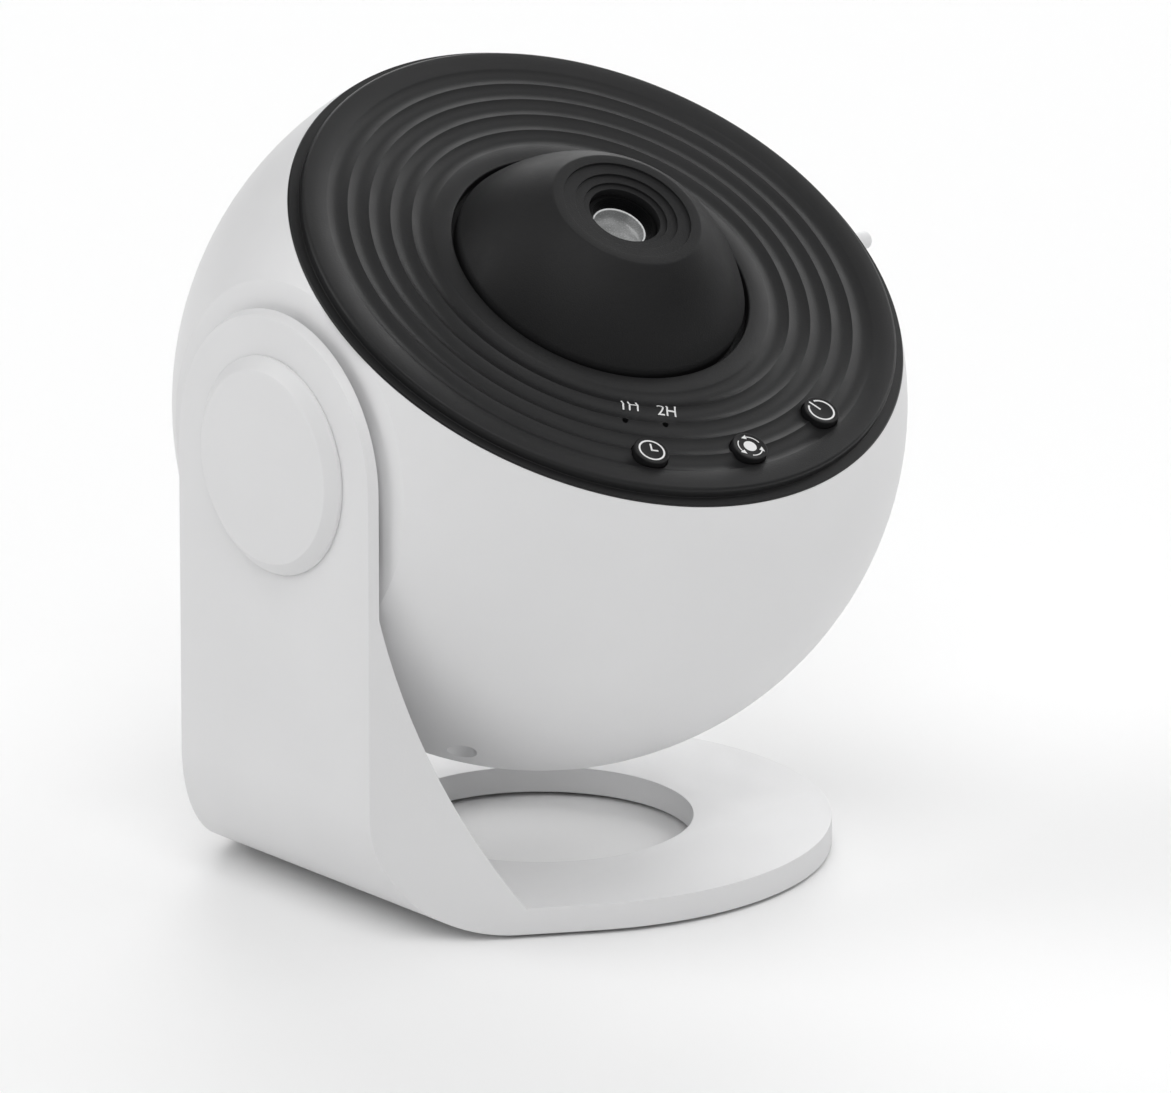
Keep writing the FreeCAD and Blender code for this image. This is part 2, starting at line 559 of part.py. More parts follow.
def make_base_inside():
    cover_top = "pad_height + base_cover_thickness"
    cover = base_plate("base_cover_plate", "pad_height", cover_top, "weight_gap",
                       "small_shank + weight_gap")
    sinks = [upright("cover_sink_%d" % i, "small_head + weight_gap", "0",
                     "pad_height + base_cover_thickness - small_shank / 2", x, y)
             for i, (x, y) in enumerate(base_screw_spots())]
    node(cut("base_cover", cover, *sinks), "base_cover")
    weight_low = cover_top + " + weight_gap"
    weight = base_plate("base_weight", weight_low, "%s + weight_thickness" % weight_low,
                        "(weight_gap * 2)", "screw_head + weight_gap * 3")
    node(weight, "base_weight")
    screws = []
    seat = "pad_height + base_cover_thickness - small_shank / 2"
    for i, (x, y) in enumerate(base_screw_spots()):
        head = upright("base_screw_head_%d" % i, "small_head", "pad_height", seat, x, y)
        shank = upright("base_screw_shank_%d" % i, "small_shank", seat,
                        "base_top - base_skin + overrun / 4", x, y)
        screws.append(fuse("base_screw_%d" % i, head, shank))
    node(group("base_screws", screws), "base_screws")
    pad = turned("foot_pad_ring", ring("pad_inner_radius", "pad_outer_radius", "0", "pad_height"))
    trim = box("pad_trim", "0 - base_radius", "heel_radius - arm_face + stand_wall",
               "0 - base_radius", "base_radius", "0 - overrun", "base_top")
    node(cut("foot_pad_trimmed", pad, trim), "foot_pad")


# Pivot


def make_pivot():
    top = "arm_face + cap_rise"
    rim = "arm_face + lens_clearance"
    flat = "cap_radius - cap_edge_round"
    spigot = "cap_recess_radius - lens_clearance * 4"
    under = "arm_face + cap_rise - cap_wall"
    outline = [("0 - (%s)" % under, "0"), ("0 - (%s)" % under, "%s - cap_spigot_wall" % spigot),
               ("0 - (%s) + cap_spigot_length" % rim, "%s - cap_spigot_wall" % spigot),
               ("0 - (%s) + cap_spigot_length" % rim, spigot), ("0 - (%s)" % rim, spigot),
               ("0 - (%s)" % rim, "cap_radius"),
               ("0 - (%s) + cap_edge_round" % top, "cap_radius", "cap_edge_round", 1),
               ("0 - (%s)" % top, flat), ("0 - (%s)" % top, "0")]
    node(turned("pivot_cap", outline, axis="H_Axis"), "pivot_cap", lift="ball_level")
    flange_out = "dish_floor + hub_flange_thickness"
    retainer_out = "retainer_inner + retainer_thickness"
    tube_end = "retainer_inner - lens_clearance"
    hub = fuse("hub_blank", across("hub_flange", "hub_flange_radius", "dish_floor", flange_out),
               across("hub_tube", "hub_radius", "dish_floor", tube_end))
    bores = [across("hub_bore", "hub_bore_radius", "dish_floor - overrun", "arm_face")]
    retaining, retaining_holes, hub_screws, shell_holes = [], [], [], []
    for i, turn in enumerate(THREE_WAYS):
        y, z = polar("retaining_screw_ring", turn)
        bores.append(across("hub_end_bore_%d" % i, "small_shank", "retainer_inner - thread_bite * 3",
                            "arm_face", y, z))
        retaining.append(side_screw("retaining_screw_%d" % i, y, z, retainer_out, -1,
                                    "retainer_thickness + thread_bite * 2"))
        retaining_holes.append(across("retainer_hole_%d" % i, "small_shank + weight_gap",
                                      "arm_boss_floor", "arm_face + overrun", y, z))
        y, z = polar("hub_screw_ring", "%d + 60" % turn)
        bores.append(across("hub_thread_%d" % i, "small_shank", "dish_floor - overrun",
                            "dish_floor + thread_bite", y, z))
        hub_screws.append(side_screw("hub_screw_%d" % i, y, z, "pivot_block_inner", 1,
                                     "dish_floor - pivot_block_inner + thread_bite"))
        shell_holes.append((y, z))
    node(cut("pivot_hub", hub, *bores), "pivot_hub", tilt=True)
    washer = cut("friction_washer", across("washer_disc", "hub_flange_radius", flange_out,
                                           "arm_boss_inner - lens_clearance"),
                 across("washer_hole", "hub_radius + weight_gap", "dish_floor", "arm_face"))
    node(washer, "friction_washer", tilt=True)
    low, high = "hub_radius + weight_gap * 3", "spring_outer_radius"
    inner_s, outer_s = "arm_boss_floor + lens_clearance", "retainer_inner - lens_clearance"
    spring = turned("spring_washer", [
        ("0 - (%s - spring_thickness)" % outer_s, low), ("0 - (%s)" % outer_s, low),
        ("0 - (%s + spring_thickness)" % inner_s, high), ("0 - (%s)" % inner_s, high)],
        axis="H_Axis")
    node(spring, "spring_washer", tilt=True)
    plate = across("retainer_disc", "retainer_radius", "retainer_inner", retainer_out)
    node(cut("retaining_plate", plate, *retaining_holes), "retaining_plate", tilt=True)
    node(group("retaining_screws", retaining), "retaining_screws", tilt=True)
    node(group("hub_screws", hub_screws), "hub_screws", tilt=True)
    return shell_holes


# Ball shell


def make_rear_shell(hub_holes):
    outer = ball("ball_solid", "ball_radius")
    cup = turned("shell_cup", [("0", "0 - ball_radius", "ball_radius", 1),
                               ("rim_radius", "rim_level"),
                               ("sqrt(shell_inner ^ 2 - rim_level ^ 2)", "rim_level",
                                "shell_inner", -1),
                               ("0", "0 - shell_inner")])
    block = across("pivot_block", "flat_radius", "pivot_block_inner", "flat_face")
    top_trim = box("rim_trim", "0 - ball_radius", "ball_radius", "0 - ball_radius", "ball_radius",
                   "rim_level", "2 * ball_radius")
    room = upright("cover_room", "skirt_radius + slot_clearance",
                   "rim_level - skirt_drop - slot_clearance", "2 * rim_level")
    side_trim = box("flat_trim", "0 - 2 * ball_radius", "0 - flat_face", "0 - ball_radius",
                    "ball_radius", "0 - ball_radius", "ball_radius")
    tubes, recesses = [], []
    for i, (sx, sy) in enumerate(FOUR_CORNERS):
        x, y = signed(sx, "shell_screw_x"), signed(sy, "shell_screw_y")
        tubes.append(upright("shell_tube_%d" % i, "shell_tube_radius", "0 - ball_radius",
                             "0 - shell_tube_top", x, y))
        recesses.append(upright("shell_recess_%d" % i, "shell_recess_radius", "0 - ball_radius",
                                "0 - shell_screw_seat", x, y))
        recesses.append(upright("shell_screw_hole_%d" % i, "screw_shank + screw_hole_clearance",
                                "0 - ball_radius", "0 - shell_tube_top + overrun", x, y))
    standoffs, threads = [], []
    for i, (sx, y) in enumerate(board_spots()):
        x = signed(sx, "board_screw_x")
        standoffs.append(upright("standoff_%d" % i, "standoff_radius", "0 - ball_radius",
                                 "board_level", x, y))
        threads.append(upright("standoff_thread_%d" % i, "small_shank",
                               "board_level - thread_bite * 3", "board_level + overrun", x, y))
    mid = "(board_top + usb_height / 2)"
    usb_block = box("usb_block", "0 - usb_block_half_width", "usb_block_half_width",
                    "usb_block_start", "ball_radius", "%s - usb_block_rise" % mid,
                    "%s + usb_block_rise" % mid)
    inside = common("shell_inside_parts", fuse("shell_inside_blank", block, usb_block, *(tubes + standoffs)),
                    outer)
    shell = fuse("shell_blank", cup, inside)
    dish = across("pivot_dish", "dish_radius", "dish_floor", "flat_face + overrun")
    groove_half = "(tilt_each_way + asin(stop_pin_radius / stop_pin_ring) / 1 deg + stop_spare_angle)"
    groove = stop_groove(groove_half)
    slot = box("film_slot", "rail_end", "ball_radius + overrun", "0 - slot_half_width",
               "slot_half_width", "slot_bottom", "slot_top")
    pocket = box("usb_pocket", "0 - usb_pocket_half_width", "usb_pocket_half_width",
                 "usb_end + lens_clearance", "ball_radius", "%s - usb_pocket_half_height" % mid,
                 "%s + usb_pocket_half_height" % mid)
    mouth = box("usb_mouth", "0 - usb_half_width - usb_clearance",
                "usb_half_width + usb_clearance", "usb_block_start - overrun", "ball_radius",
                "board_top - usb_clearance", "board_top + usb_height + usb_clearance")
    holes = [across("hub_screw_hole_%d" % i, "small_shank + weight_gap", "pivot_block_inner - overrun",
                    "flat_face", y, z) for i, (y, z) in enumerate(hub_holes)]
    shell = cut("rear_shell", shell, top_trim, room, side_trim, dish, groove, slot, pocket, mouth,
                *(recesses + threads + holes))
    node(shell, "rear_shell", tilt=True)
    screws = [screw("shell_screw_%d" % i, signed(sx, "shell_screw_x"), signed(sy, "shell_screw_y"),
                    "0 - shell_screw_seat", 1, "shell_screw_seat - shell_tube_top + thread_bite * 4")
              for i, (sx, sy) in enumerate(FOUR_CORNERS)]
    node(group("shell_screws", screws), "shell_screws", tilt=True)


def stop_groove(half_angle):
    """The arc groove that the stand's stop pin runs in, about the pivot axis."""
    pieces = []
    for name, radius in (("outer", "stop_pin_ring + stop_groove_half_width"),
                         ("inner", "stop_pin_ring - stop_groove_half_width")):
        obj = doc.addObject("Part::Cylinder", "groove_" + name)
        bind(obj, Radius=radius, Height="dish_floor - stop_groove_floor + overrun",
             Angle="2 * %s" % half_angle)
        pieces.append(obj)
    arc = cut("groove_arc", *pieces)
    # The slice starts on the local X axis. It is turned so that its middle is on -Z of the head.
    spin = FreeCAD.Rotation(Vec(0, 0, 1), -val(half_angle))
    stand_up = FreeCAD.Rotation(Vec(0, 1, 0), 90)
    arc.Placement = FreeCAD.Placement(Vec(), stand_up.multiply(spin))
    return bind(arc, Placement__Base__x="0 - dish_floor - overrun")


def board_spots():
    """Sides and Y places of the main board's four screws."""
    near, far = "board_front + board_screw_inset", "board_back - board_screw_inset"
    return [(1, near), (-1, near), (-1, far), (1, far)]


# Face


def make_face_cover():
    low = "rim_level - skirt_drop"
    inner = "(skirt_radius - skirt_wall)"
    points = [("opening_radius", "cover_under"), (inner, "cover_under"), (inner, low),
              ("skirt_radius", low), ("skirt_radius", "rim_level"), ("rim_radius", "rim_level"),
              ("rim_radius - lip_slope", "rim_level + lip_thickness"),
              ("cover_radius", "rim_level + lip_thickness"), ("cover_radius", "cover_top")]
    ripple = "((ripple_width ^ 2 / 4 + ripple_depth ^ 2) / (2 * ripple_depth))"
    for i in range(int(val("ripple_count")), 0, -1):
        points.append(("ripple_inner_radius + %d * ripple_width" % i, "cover_top", ripple, 1))
    points += [("ripple_inner_radius", "cover_top"), ("opening_radius", "cover_top")]
    plate = turned("cover_plate", points)
    posts = [upright("post_%d" % i, "post_radius", "0 - shell_tube_top + lamp_gap * 2",
                     "cover_under + overrun / 2", signed(sx, "shell_screw_x"),
                     signed(sy, "shell_screw_y")) for i, (sx, sy) in enumerate(FOUR_CORNERS)]
    lean = ball("post_limit", "shell_inner - slot_clearance")
    level = upright("post_level", "ball_radius", "0 - ball_radius", "rim_level")
    top = upright("post_top", inner, "0", "cover_under + overrun / 2")
    posts = common("post_parts", fuse("post_blank", *posts), lean, fuse("post_room", level, top))
    bosses = [upright("chassis_boss_%d" % i, "pillar_radius", "deck_top", "cover_under + overrun / 2",
                      signed(sx, "pillar_x"), signed(sy, "pillar_y"))
              for i, (sx, sy) in enumerate(FOUR_CORNERS)]
    threads = [upright("post_thread_%d" % i, "screw_shank", "0 - shell_tube_top - overrun",
                       "0 - shell_tube_top + thread_bite * 5", signed(sx, "shell_screw_x"),
                       signed(sy, "shell_screw_y")) for i, (sx, sy) in enumerate(FOUR_CORNERS)]
    threads += [upright("boss_thread_%d" % i, "screw_shank", "deck_top - overrun", "cover_under",
                        signed(sx, "pillar_x"), signed(sy, "pillar_y"))
                for i, (sx, sy) in enumerate(FOUR_CORNERS)]
    for i, (x, y) in enumerate(key_screw_spots()):
        bosses.append(upright("key_boss_%d" % i, "key_boss_radius", "key_board_top",
                              "cover_under + overrun / 2", x, y))
        threads.append(upright("key_thread_%d" % i, "small_shank", "key_board_level",
                               "cover_under", x, y))
    for name, angle in BUTTON_ANGLES.items():
        x, y = polar("button_ring", angle)
        threads.append(upright("hole_" + name, "button_radius + button_hole_clearance",
                               "cover_under - overrun", "cover_top + overrun", x, y))
    for i, (x, y) in enumerate(lamp_pin_spots()):
        threads.append(upright("pin_hole_%d" % i, "lamp_pin_radius + pin_hole_clearance",
                               "cover_under - overrun", "cover_top + overrun", x, y))
    cover = cut("face_cover", fuse("cover_blank", plate, posts, *bosses), *threads)
    node(cover, "face_cover", tilt=True)


def key_screw_spots():
    """Places of the button board's two screws."""
    return [polar("key_screw_ring", "270 - key_screw_angle"),
            polar("key_screw_ring", "270 + key_screw_angle")]


def lamp_pin_spots():
    """Places of the two indicator lamps beside the timer button."""
    return [polar("lamp_pin_ring", "270 - lamp_pin_one"), polar("lamp_pin_ring", "270 - lamp_pin_two")]


def make_buttons():
    for name, angle in BUTTON_ANGLES.items():
        x, y = polar("button_ring", angle)
        top = "cover_top + button_rise"
        flange_top = "cover_under - button_flange_gap"
        flange_low = "(cover_under - button_flange_gap - button_flange_thickness)"
        cap = turned(name + "_cap", [
            ("0", flange_low), ("button_flange_radius", flange_low),
            ("button_flange_radius", flange_top), ("button_radius", flange_top),
            ("button_radius", "%s - button_edge" % top, "button_edge", 1),
            ("button_radius - button_edge", top), ("0", top)])
        node(group(name + "_button_place", [place(cap, x, y)]), name + "_button", tilt=True)
        plunger = upright(name + "_plunger_pin", "plunger_radius",
                          "key_board_top + switch_height - plunger_sink + button_travel",
                          flange_low, x, y)
        node(group(name + "_plunger_place", [plunger]), name + "_plunger", tilt=True)
    bodies = []
    for name, angle in BUTTON_ANGLES.items():
        x, y = polar("button_ring", angle)
        half = "switch_side / 2"
        body = box("switch_" + name, "0 - " + half, half, "0 - " + half, half, "0", "switch_height")
        well = upright("switch_well_" + name, "plunger_radius + switch_hole_clearance",
                       "switch_height - plunger_sink", "switch_height + overrun")
        piece = cut("switch_piece_" + name, body, well)
        place(piece, x, y, "key_board_top", axis=(0, 0, 1), angle="(%s) - 270" % angle)
        bodies.append(piece)
    node(group("switch_bodies", bodies), "switch_bodies", tilt=True)
    lamps = []
    for i, (x, y) in enumerate(lamp_pin_spots()):
        half = "lamp_body_side / 2"
        body = box("lamp_body_%d" % i, "(%s) - %s" % (x, half), "(%s) + %s" % (x, half),
                   "(%s) - %s" % (y, half), "(%s) + %s" % (y, half), "key_board_top",
                   "key_board_top + lamp_body_height")
        pin = upright("lamp_pin_%d" % i, "lamp_pin_radius", "key_board_top", "lamp_pin_top", x, y)
        lamps.append(fuse("indicator_%d" % i, body, pin))
    node(group("indicator_lamps", lamps), "indicator_lamps", tilt=True)
    sheet_of = sector("key_sector", "key_board_outer", "key_board_level", "key_board_top", "270",
                      "key_board_half_angle")
    inner = upright("key_inner", "key_board_inner", "key_board_level - overrun",
                    "key_board_top + overrun")
    holes = [upright("key_board_hole_%d" % i, "small_shank + weight_gap", "key_board_level - overrun",
                     "key_board_top + overrun", x, y) for i, (x, y) in enumerate(key_screw_spots())]
    node(cut("button_board", sheet_of, inner, *holes), "button_board", tilt=True)
    screws = [screw("key_screw_%d" % i, x, y, "key_board_level", 1,
                    "key_board_thickness + thread_bite", "small")
              for i, (x, y) in enumerate(key_screw_spots())]
    node(group("button_board_screws", screws), "button_board_screws", tilt=True)


# Focus cone and lens


def make_focus_cone():
    rim = "cone_rim"
    base = "rim_level + cone_base_rise"
    step = "crater_step_height"
    round_r = "cone_rim_radius + cone_rim_round * sin(cone_round_angle)"
    round_z = "cone_rim - cone_rim_round * (1 - cos(cone_round_angle))"
    flange_top = "cover_under - cone_flange_gap"
    flange_low = "cover_under - cone_flange_gap - cone_flange_thickness"
    under_r = "cone_base_radius - cone_wall"
    roof = "(cone_rim - 3 * %s - cone_wall)" % step
    points = [
        ("lens_bore_radius", "sleeve_bottom"), ("sleeve_radius", "sleeve_bottom"),
        ("sleeve_radius", roof),
        ("cone_rim_radius - cone_wall / 2", roof, "cone_flank_radius - cone_wall", -1),
        (under_r, "%s - cone_wall / 2" % base), (under_r, flange_low),
        ("cone_flange_radius", flange_low), ("cone_flange_radius", flange_top),
        ("cone_base_radius", flange_top), ("cone_base_radius", base, "cone_flank_radius", 1),
        (round_r, round_z, "cone_rim_round", 1), ("cone_rim_radius", rim), ("crater_step_one", rim),
        ("crater_step_one", "%s - %s" % (rim, step)), ("crater_step_two", "%s - %s" % (rim, step)),
        ("crater_step_two", "%s - 2 * %s" % (rim, step)),
        ("crater_step_three", "%s - 2 * %s" % (rim, step)),
        ("crater_step_three", "%s - 3 * %s" % (rim, step)),
        ("lens_bore_radius", "%s - 3 * %s" % (rim, step))]
    cone = turned("cone_turned", points)
    slots = [helical_slot(i) for i in range(2)]
    node(cut("focus_cone", cone, *slots), "focus_cone", tilt=True)


def helical_slot(index):
    """A slot round the sleeve that lifts or lowers a barrel pin as the cone turns."""
    lift, drop = val("focus_out_travel"), val("focus_in_travel")
    lead = (lift + drop) / math.radians(val("focus_turn"))
    radius = val("barrel_pin_radius + focus_clearance")
    inner, outer = val("lens_bore_radius - overrun"), val("sleeve_radius + overrun")
    half_height = radius * math.hypot(1, lead / val("lens_bore_radius"))
    sections, ends = [], []
    steps = 12
    for i in range(steps + 1):
        travel = (lift + drop) * i / steps - drop
        # A pin that has risen by this travel meets the sleeve turned back by the same share.
        angle = math.pi * (index + 0.5) - travel / lead
        way = Vec(math.cos(angle), math.sin(angle), 0)
        level = val("barrel_pin_level") + travel
        corners = [way * reach + Vec(0, 0, level + side)
                   for reach, side in ((inner, -half_height), (outer, -half_height),
                                       (outer, half_height), (inner, half_height))]
        sections.append(Part.makePolygon(corners + corners[:1]))
        if i in (0, steps):
            ends.append(Part.makeCylinder(radius, outer - inner, way * inner + Vec(0, 0, level), way))
    slot = doc.addObject("Part::Feature", "helical_slot_%d" % index)
    slot.Shape = Part.makeLoft(sections, True, False).multiFuse(ends)
    return slot


def make_lens_barrel():
    top = "barrel_top"
    seat = "(barrel_top - front_lens_drop)"
    low = "(barrel_top - barrel_length)"
    front_room = "(front_lens_radius + lens_clearance)"
    rear_room = "(rear_lens_radius + lens_clearance)"
    front_floor = "(%s - lens_thickness)" % seat
    rear_roof = "(%s + lens_thickness * 2)" % low
    barrel = turned("barrel_turned", [
        (front_room, front_floor), (front_room, top + " - front_lens_drop"),
        ("barrel_mouth_radius", top), ("barrel_radius", top), ("barrel_radius", low),
        (rear_room, low), (rear_room, rear_roof), ("barrel_step_radius", rear_roof),
        ("barrel_step_radius", front_floor)])
    pins = []
    for i, sign in enumerate((1, -1)):
        pin = doc.addObject("Part::Cylinder", "barrel_pin_%d" % i)
        bind(pin, Radius="barrel_pin_radius",
             Height="sleeve_clear_radius + guide_wall - barrel_radius + thread_bite / 4")
        turn = FreeCAD.Rotation(Vec(1, 0, 0), -90 * sign)
        pin.Placement = FreeCAD.Placement(Vec(), turn)
        bind(pin, Placement__Base__y=signed(sign, "barrel_radius - thread_bite / 4"),
             Placement__Base__z="barrel_pin_level")
        pins.append(pin)
    node(fuse("lens_barrel", barrel, *pins), "lens_barrel", tilt=True)
    node(lens("front_lens", "front_lens_radius", "%s + lens_clearance" % front_floor,
              "lens_thickness", "lens_bulge", "lens_bulge"), "front_lens", tilt=True)
    rear_low = "(%s + lens_thickness)" % low
    node(lens("rear_lens", "rear_lens_radius", rear_low, "lens_thickness - lens_clearance", "lens_bulge",
              "lens_bulge"), "rear_lens", tilt=True)
    keeper = turned("lens_ring", ring("barrel_step_radius", "rear_lens_radius",
                                      low, "%s - lens_clearance + lens_bulge / 2" % rear_low))
    node(keeper, "lens_ring", tilt=True)


def lens(name, radius, low, thickness, lower_bulge, upper_bulge):
    """A lens with spherical faces, its edge cylinder between the two bulges."""
    curve = "((%s) ^ 2 + (%s) ^ 2) / (2 * (%s))"
    top = "(%s) + (%s)" % (low, thickness)
    return turned(name, [
        ("0", low, curve % (radius, lower_bulge, lower_bulge), 1),
        (radius, "(%s) + (%s)" % (low, lower_bulge)),
        (radius, "(%s) - (%s)" % (top, upper_bulge), curve % (radius, upper_bulge, upper_bulge), 1),
        ("0", top)])


# Decks


def make_decks():
    top = "deck_top"
    guide_outer = "(sleeve_clear_radius + guide_wall)"
    rib_top = "cover_under - cone_flange_gap - cone_flange_thickness - rib_gap"
    deck = turned("optics_deck_turned", [
        ("sleeve_clear_radius", "optics_deck_level"), ("deck_radius", "optics_deck_level"),
        ("deck_radius", top), ("rib_radius", top), ("rib_radius", rib_top),
        ("rib_radius - rib_wall", rib_top), ("rib_radius - rib_wall", top), (guide_outer, top),
        (guide_outer, "guide_tube_top"), ("sleeve_clear_radius", "guide_tube_top")])
    trims = deck_trims("optics", "optics_deck_level - overrun", "cover_under")
    notch = cut("deck_notch", sector("notch_sector", "ball_radius", "optics_deck_level - overrun",
                                     "cover_under", "270", "deck_notch_half_angle"),
                upright("notch_inner", "deck_notch_inner", "0", "ball_radius"))
    slot_half = "barrel_pin_radius + focus_clearance"
    slot_low = "barrel_pin_level - focus_in_travel - barrel_pin_radius - overrun / 2"
    slot_high = "barrel_pin_level + focus_out_travel + barrel_pin_radius + overrun / 2"
    slots = box("guide_slots", "0 - (%s)" % slot_half, slot_half, "0 - rib_radius + rib_wall * 2",
                "rib_radius - rib_wall * 2", slot_low, slot_high)
    node(cut("optics_deck", deck, notch, slots, *trims), "optics_deck", tilt=True)

    low, high = "film_deck_level", "film_deck_top"
    disc = upright("film_deck_disc", "deck_radius", low, high)
    pillars = [upright("pillar_%d" % i, "pillar_radius", low, "optics_deck_level",
                       signed(sx, "pillar_x"), signed(sy, "pillar_y"))
               for i, (sx, sy) in enumerate(FOUR_CORNERS)]
    rails = []
    for i, sign in enumerate((1, -1)):
        wall_low, wall_high = "tray_half_width + tray_gap", "tray_half_width + tray_gap + rail_thickness"
        lip_low = "tray_half_width + tray_gap - rail_lip_reach"
        spans = [(wall_low, wall_high, high + " - overrun / 2", high + " + rail_height"),
                 (lip_low, wall_high, high + " + rail_height - rail_lip_thickness",
                  high + " + rail_height")]
        for j, (y0, y1, z0, z1) in enumerate(spans):
            if sign < 0:
                y0, y1 = "0 - (%s)" % y1, "0 - (%s)" % y0
            rails.append(box("rail_%d_%d" % (i, j), "0 - rail_start", "rail_end", y0, y1, z0, z1))
    film_deck = fuse("film_deck_blank", disc, *(pillars + rails))
    hole = upright("film_deck_light", "film_deck_hole", "0", "ball_radius")
    shaft = upright("film_deck_shaft", "motor_boss_radius + weight_gap", "0", "film_deck_top + overrun",
                    "motor_x")
    threads = []
    for i, (x, y) in enumerate(lamp_ear_spots()):
        threads.append(upright("lamp_thread_%d" % i, "small_shank", "film_deck_level - overrun",
                               "film_deck_level + thread_bite * 3 / 4", x, y))
    for i, sign in enumerate((1, -1)):
        threads.append(upright("motor_thread_%d" % i, "small_shank", "film_deck_level - overrun",
                               "film_deck_level + thread_bite * 3 / 4", "motor_x",
                               signed(sign, "motor_screw_reach")))
    trims = deck_trims("film", "0", "ball_radius")
    trims.append(upright("film_deck_lead_hole", "lead_radius + slot_clearance * 2", "0", "ball_radius",
                         "0", "0 - key_screw_ring"))
    node(cut("film_deck", film_deck, hole, shaft, *(threads + trims)), "film_deck", tilt=True)
    screws = [screw("chassis_screw_%d" % i, signed(sx, "pillar_x"), signed(sy, "pillar_y"),
                    "film_deck_level", 1, "deck_top - film_deck_level + thread_bite")
              for i, (sx, sy) in enumerate(FOUR_CORNERS)]
    node(group("chassis_screws", screws), "chassis_screws", tilt=True)


def deck_trims(name, low, high):
    """What both decks leave out: the pivot block's side, the cover's posts and the screw holes."""
    trims = [box(name + "_side_trim", "0 - 2 * ball_radius", "0 - deck_side_cut", "0 - ball_radius",
                 "ball_radius", low, high)]
    for i, (sx, sy) in enumerate(FOUR_CORNERS):
        trims.append(upright("%s_post_room_%d" % (name, i), "post_radius + slot_clearance * 2", low,
                             high, signed(sx, "shell_screw_x"), signed(sy, "shell_screw_y")))
        trims.append(upright("%s_screw_room_%d" % (name, i), "pillar_hole_radius", low, high,
                             signed(sx, "pillar_x"), signed(sy, "pillar_y")))
    return trims


# Film tray, film ring and their drive


def make_film_tray():
    low, high = "tray_bottom", "tray_top"
    back = upright("tray_back_disc", "tray_back", low, high)
    plate = box("tray_plate", "0 - tray_corner", "ball_radius", "0 - tray_half_width",
                "tray_half_width", low, high)
    plate = common("tray_plate_trimmed", plate, ball("tray_limit", "ball_radius - door_wall / 2"))
    skin = cut("door_skin", ball("door_outer", "ball_radius"), ball("door_inner", "ball_radius - door_wall"))
    clear = "slot_clearance"
    window = box("door_window", "rail_end + overrun", "ball_radius + overrun",
                 "0 - slot_half_width + " + clear,
                 "slot_half_width - " + clear, "slot_bottom + " + clear, "slot_top - " + clear)
    door = common("tray_door", skin, window)
    collar = upright("tray_collar", "tray_light_radius + collar_wall", low, "collar_top")
    light = upright("tray_light", "tray_light_radius", "0", "ball_radius")
    seat = knob_cylinder("knob_seat", "knob_radius + lens_clearance")
    tray = cut("film_tray", fuse("tray_blank", back, plate, door, collar), light, seat)
    node(tray, "film_tray", tilt=True)
    knob = knob_cylinder("knob_blank", "knob_radius")
    knob = rounded("tray_knob", knob, "knob_round",
                   lambda edge: edge.BoundBox.XMin > val("knob_reach - knob_round"))
    node(knob, "tray_knob", tilt=True)


def knob_cylinder(name, radius):
    """The pull knob's cylinder, from its seat in the door to its outer end."""
    seat = "(sqrt(ball_radius ^ 2 - knob_level ^ 2) - knob_seat_depth)"
    obj = doc.addObject("Part::Cylinder", name)
    bind(obj, Radius=radius, Height="knob_reach - %s" % seat)
    obj.Placement = FreeCAD.Placement(Vec(), FreeCAD.Rotation(Vec(0, 1, 0), 90))
    return bind(obj, Placement__Base__x=seat, Placement__Base__z="knob_level")


def gear_outline(teeth, module, backlash, turn):
    """A closed wire round an external involute gear, with a tooth centred on the turn angle."""
    pressure = math.radians(20)
    pitch = module * teeth / 2
    base = pitch * math.cos(pressure)
    tip = pitch + module
    root = pitch - 1.25 * module
    involute_at = lambda r: math.tan(math.acos(base / r)) - math.acos(base / r) if r > base else 0.0
    half_pitch = (math.pi * module / 2 - backlash) / (2 * pitch)
    low = max(base, root)
    radii = [low + (tip - low) * i / 4 for i in range(5)]
    flank = [(r, half_pitch + involute_at(pitch) - involute_at(r)) for r in radii]
    step = 2 * math.pi / teeth
    spot = lambda r, a: Vec(r * math.cos(a), r * math.sin(a), 0)
    edges = []
    first = None
    last = None
    for k in range(teeth):
        middle = turn + k * step
        down = [spot(root, middle - flank[0][1])] if root < low else []
        rise = down + [spot(r, middle - a) for r, a in flank]
        fall = [spot(r, middle + a) for r, a in reversed(flank)]
        fall += [spot(root, middle + flank[0][1])] if root < low else []
        if last is not None:
            edges.append(Part.makeLine(last, rise[0]))
        edges += [Part.makeLine(a, b) for a, b in zip(rise, rise[1:])]
        crest = spot(tip, middle)
        edges.append(Part.Arc(rise[-1], crest, fall[0]).toShape())
        edges += [Part.makeLine(a, b) for a, b in zip(fall, fall[1:])]
        first = first or rise[0]
        last = fall[-1]
    edges.append(Part.makeLine(last, first))
    return Part.Wire(edges)


def gear_solid(name, teeth, low, high, turn):
    """A gear blank between two levels, as a free-form feature."""
    wire = gear_outline(int(val(teeth)), val("gear_module"), val("gear_backlash"), turn)
    shape = Part.Face(wire).extrude(Vec(0, 0, val(high) - val(low)))
    obj = doc.addObject("Part::Feature", name)
    obj.Shape = shape
    return bind(obj, Placement__Base__z=low)


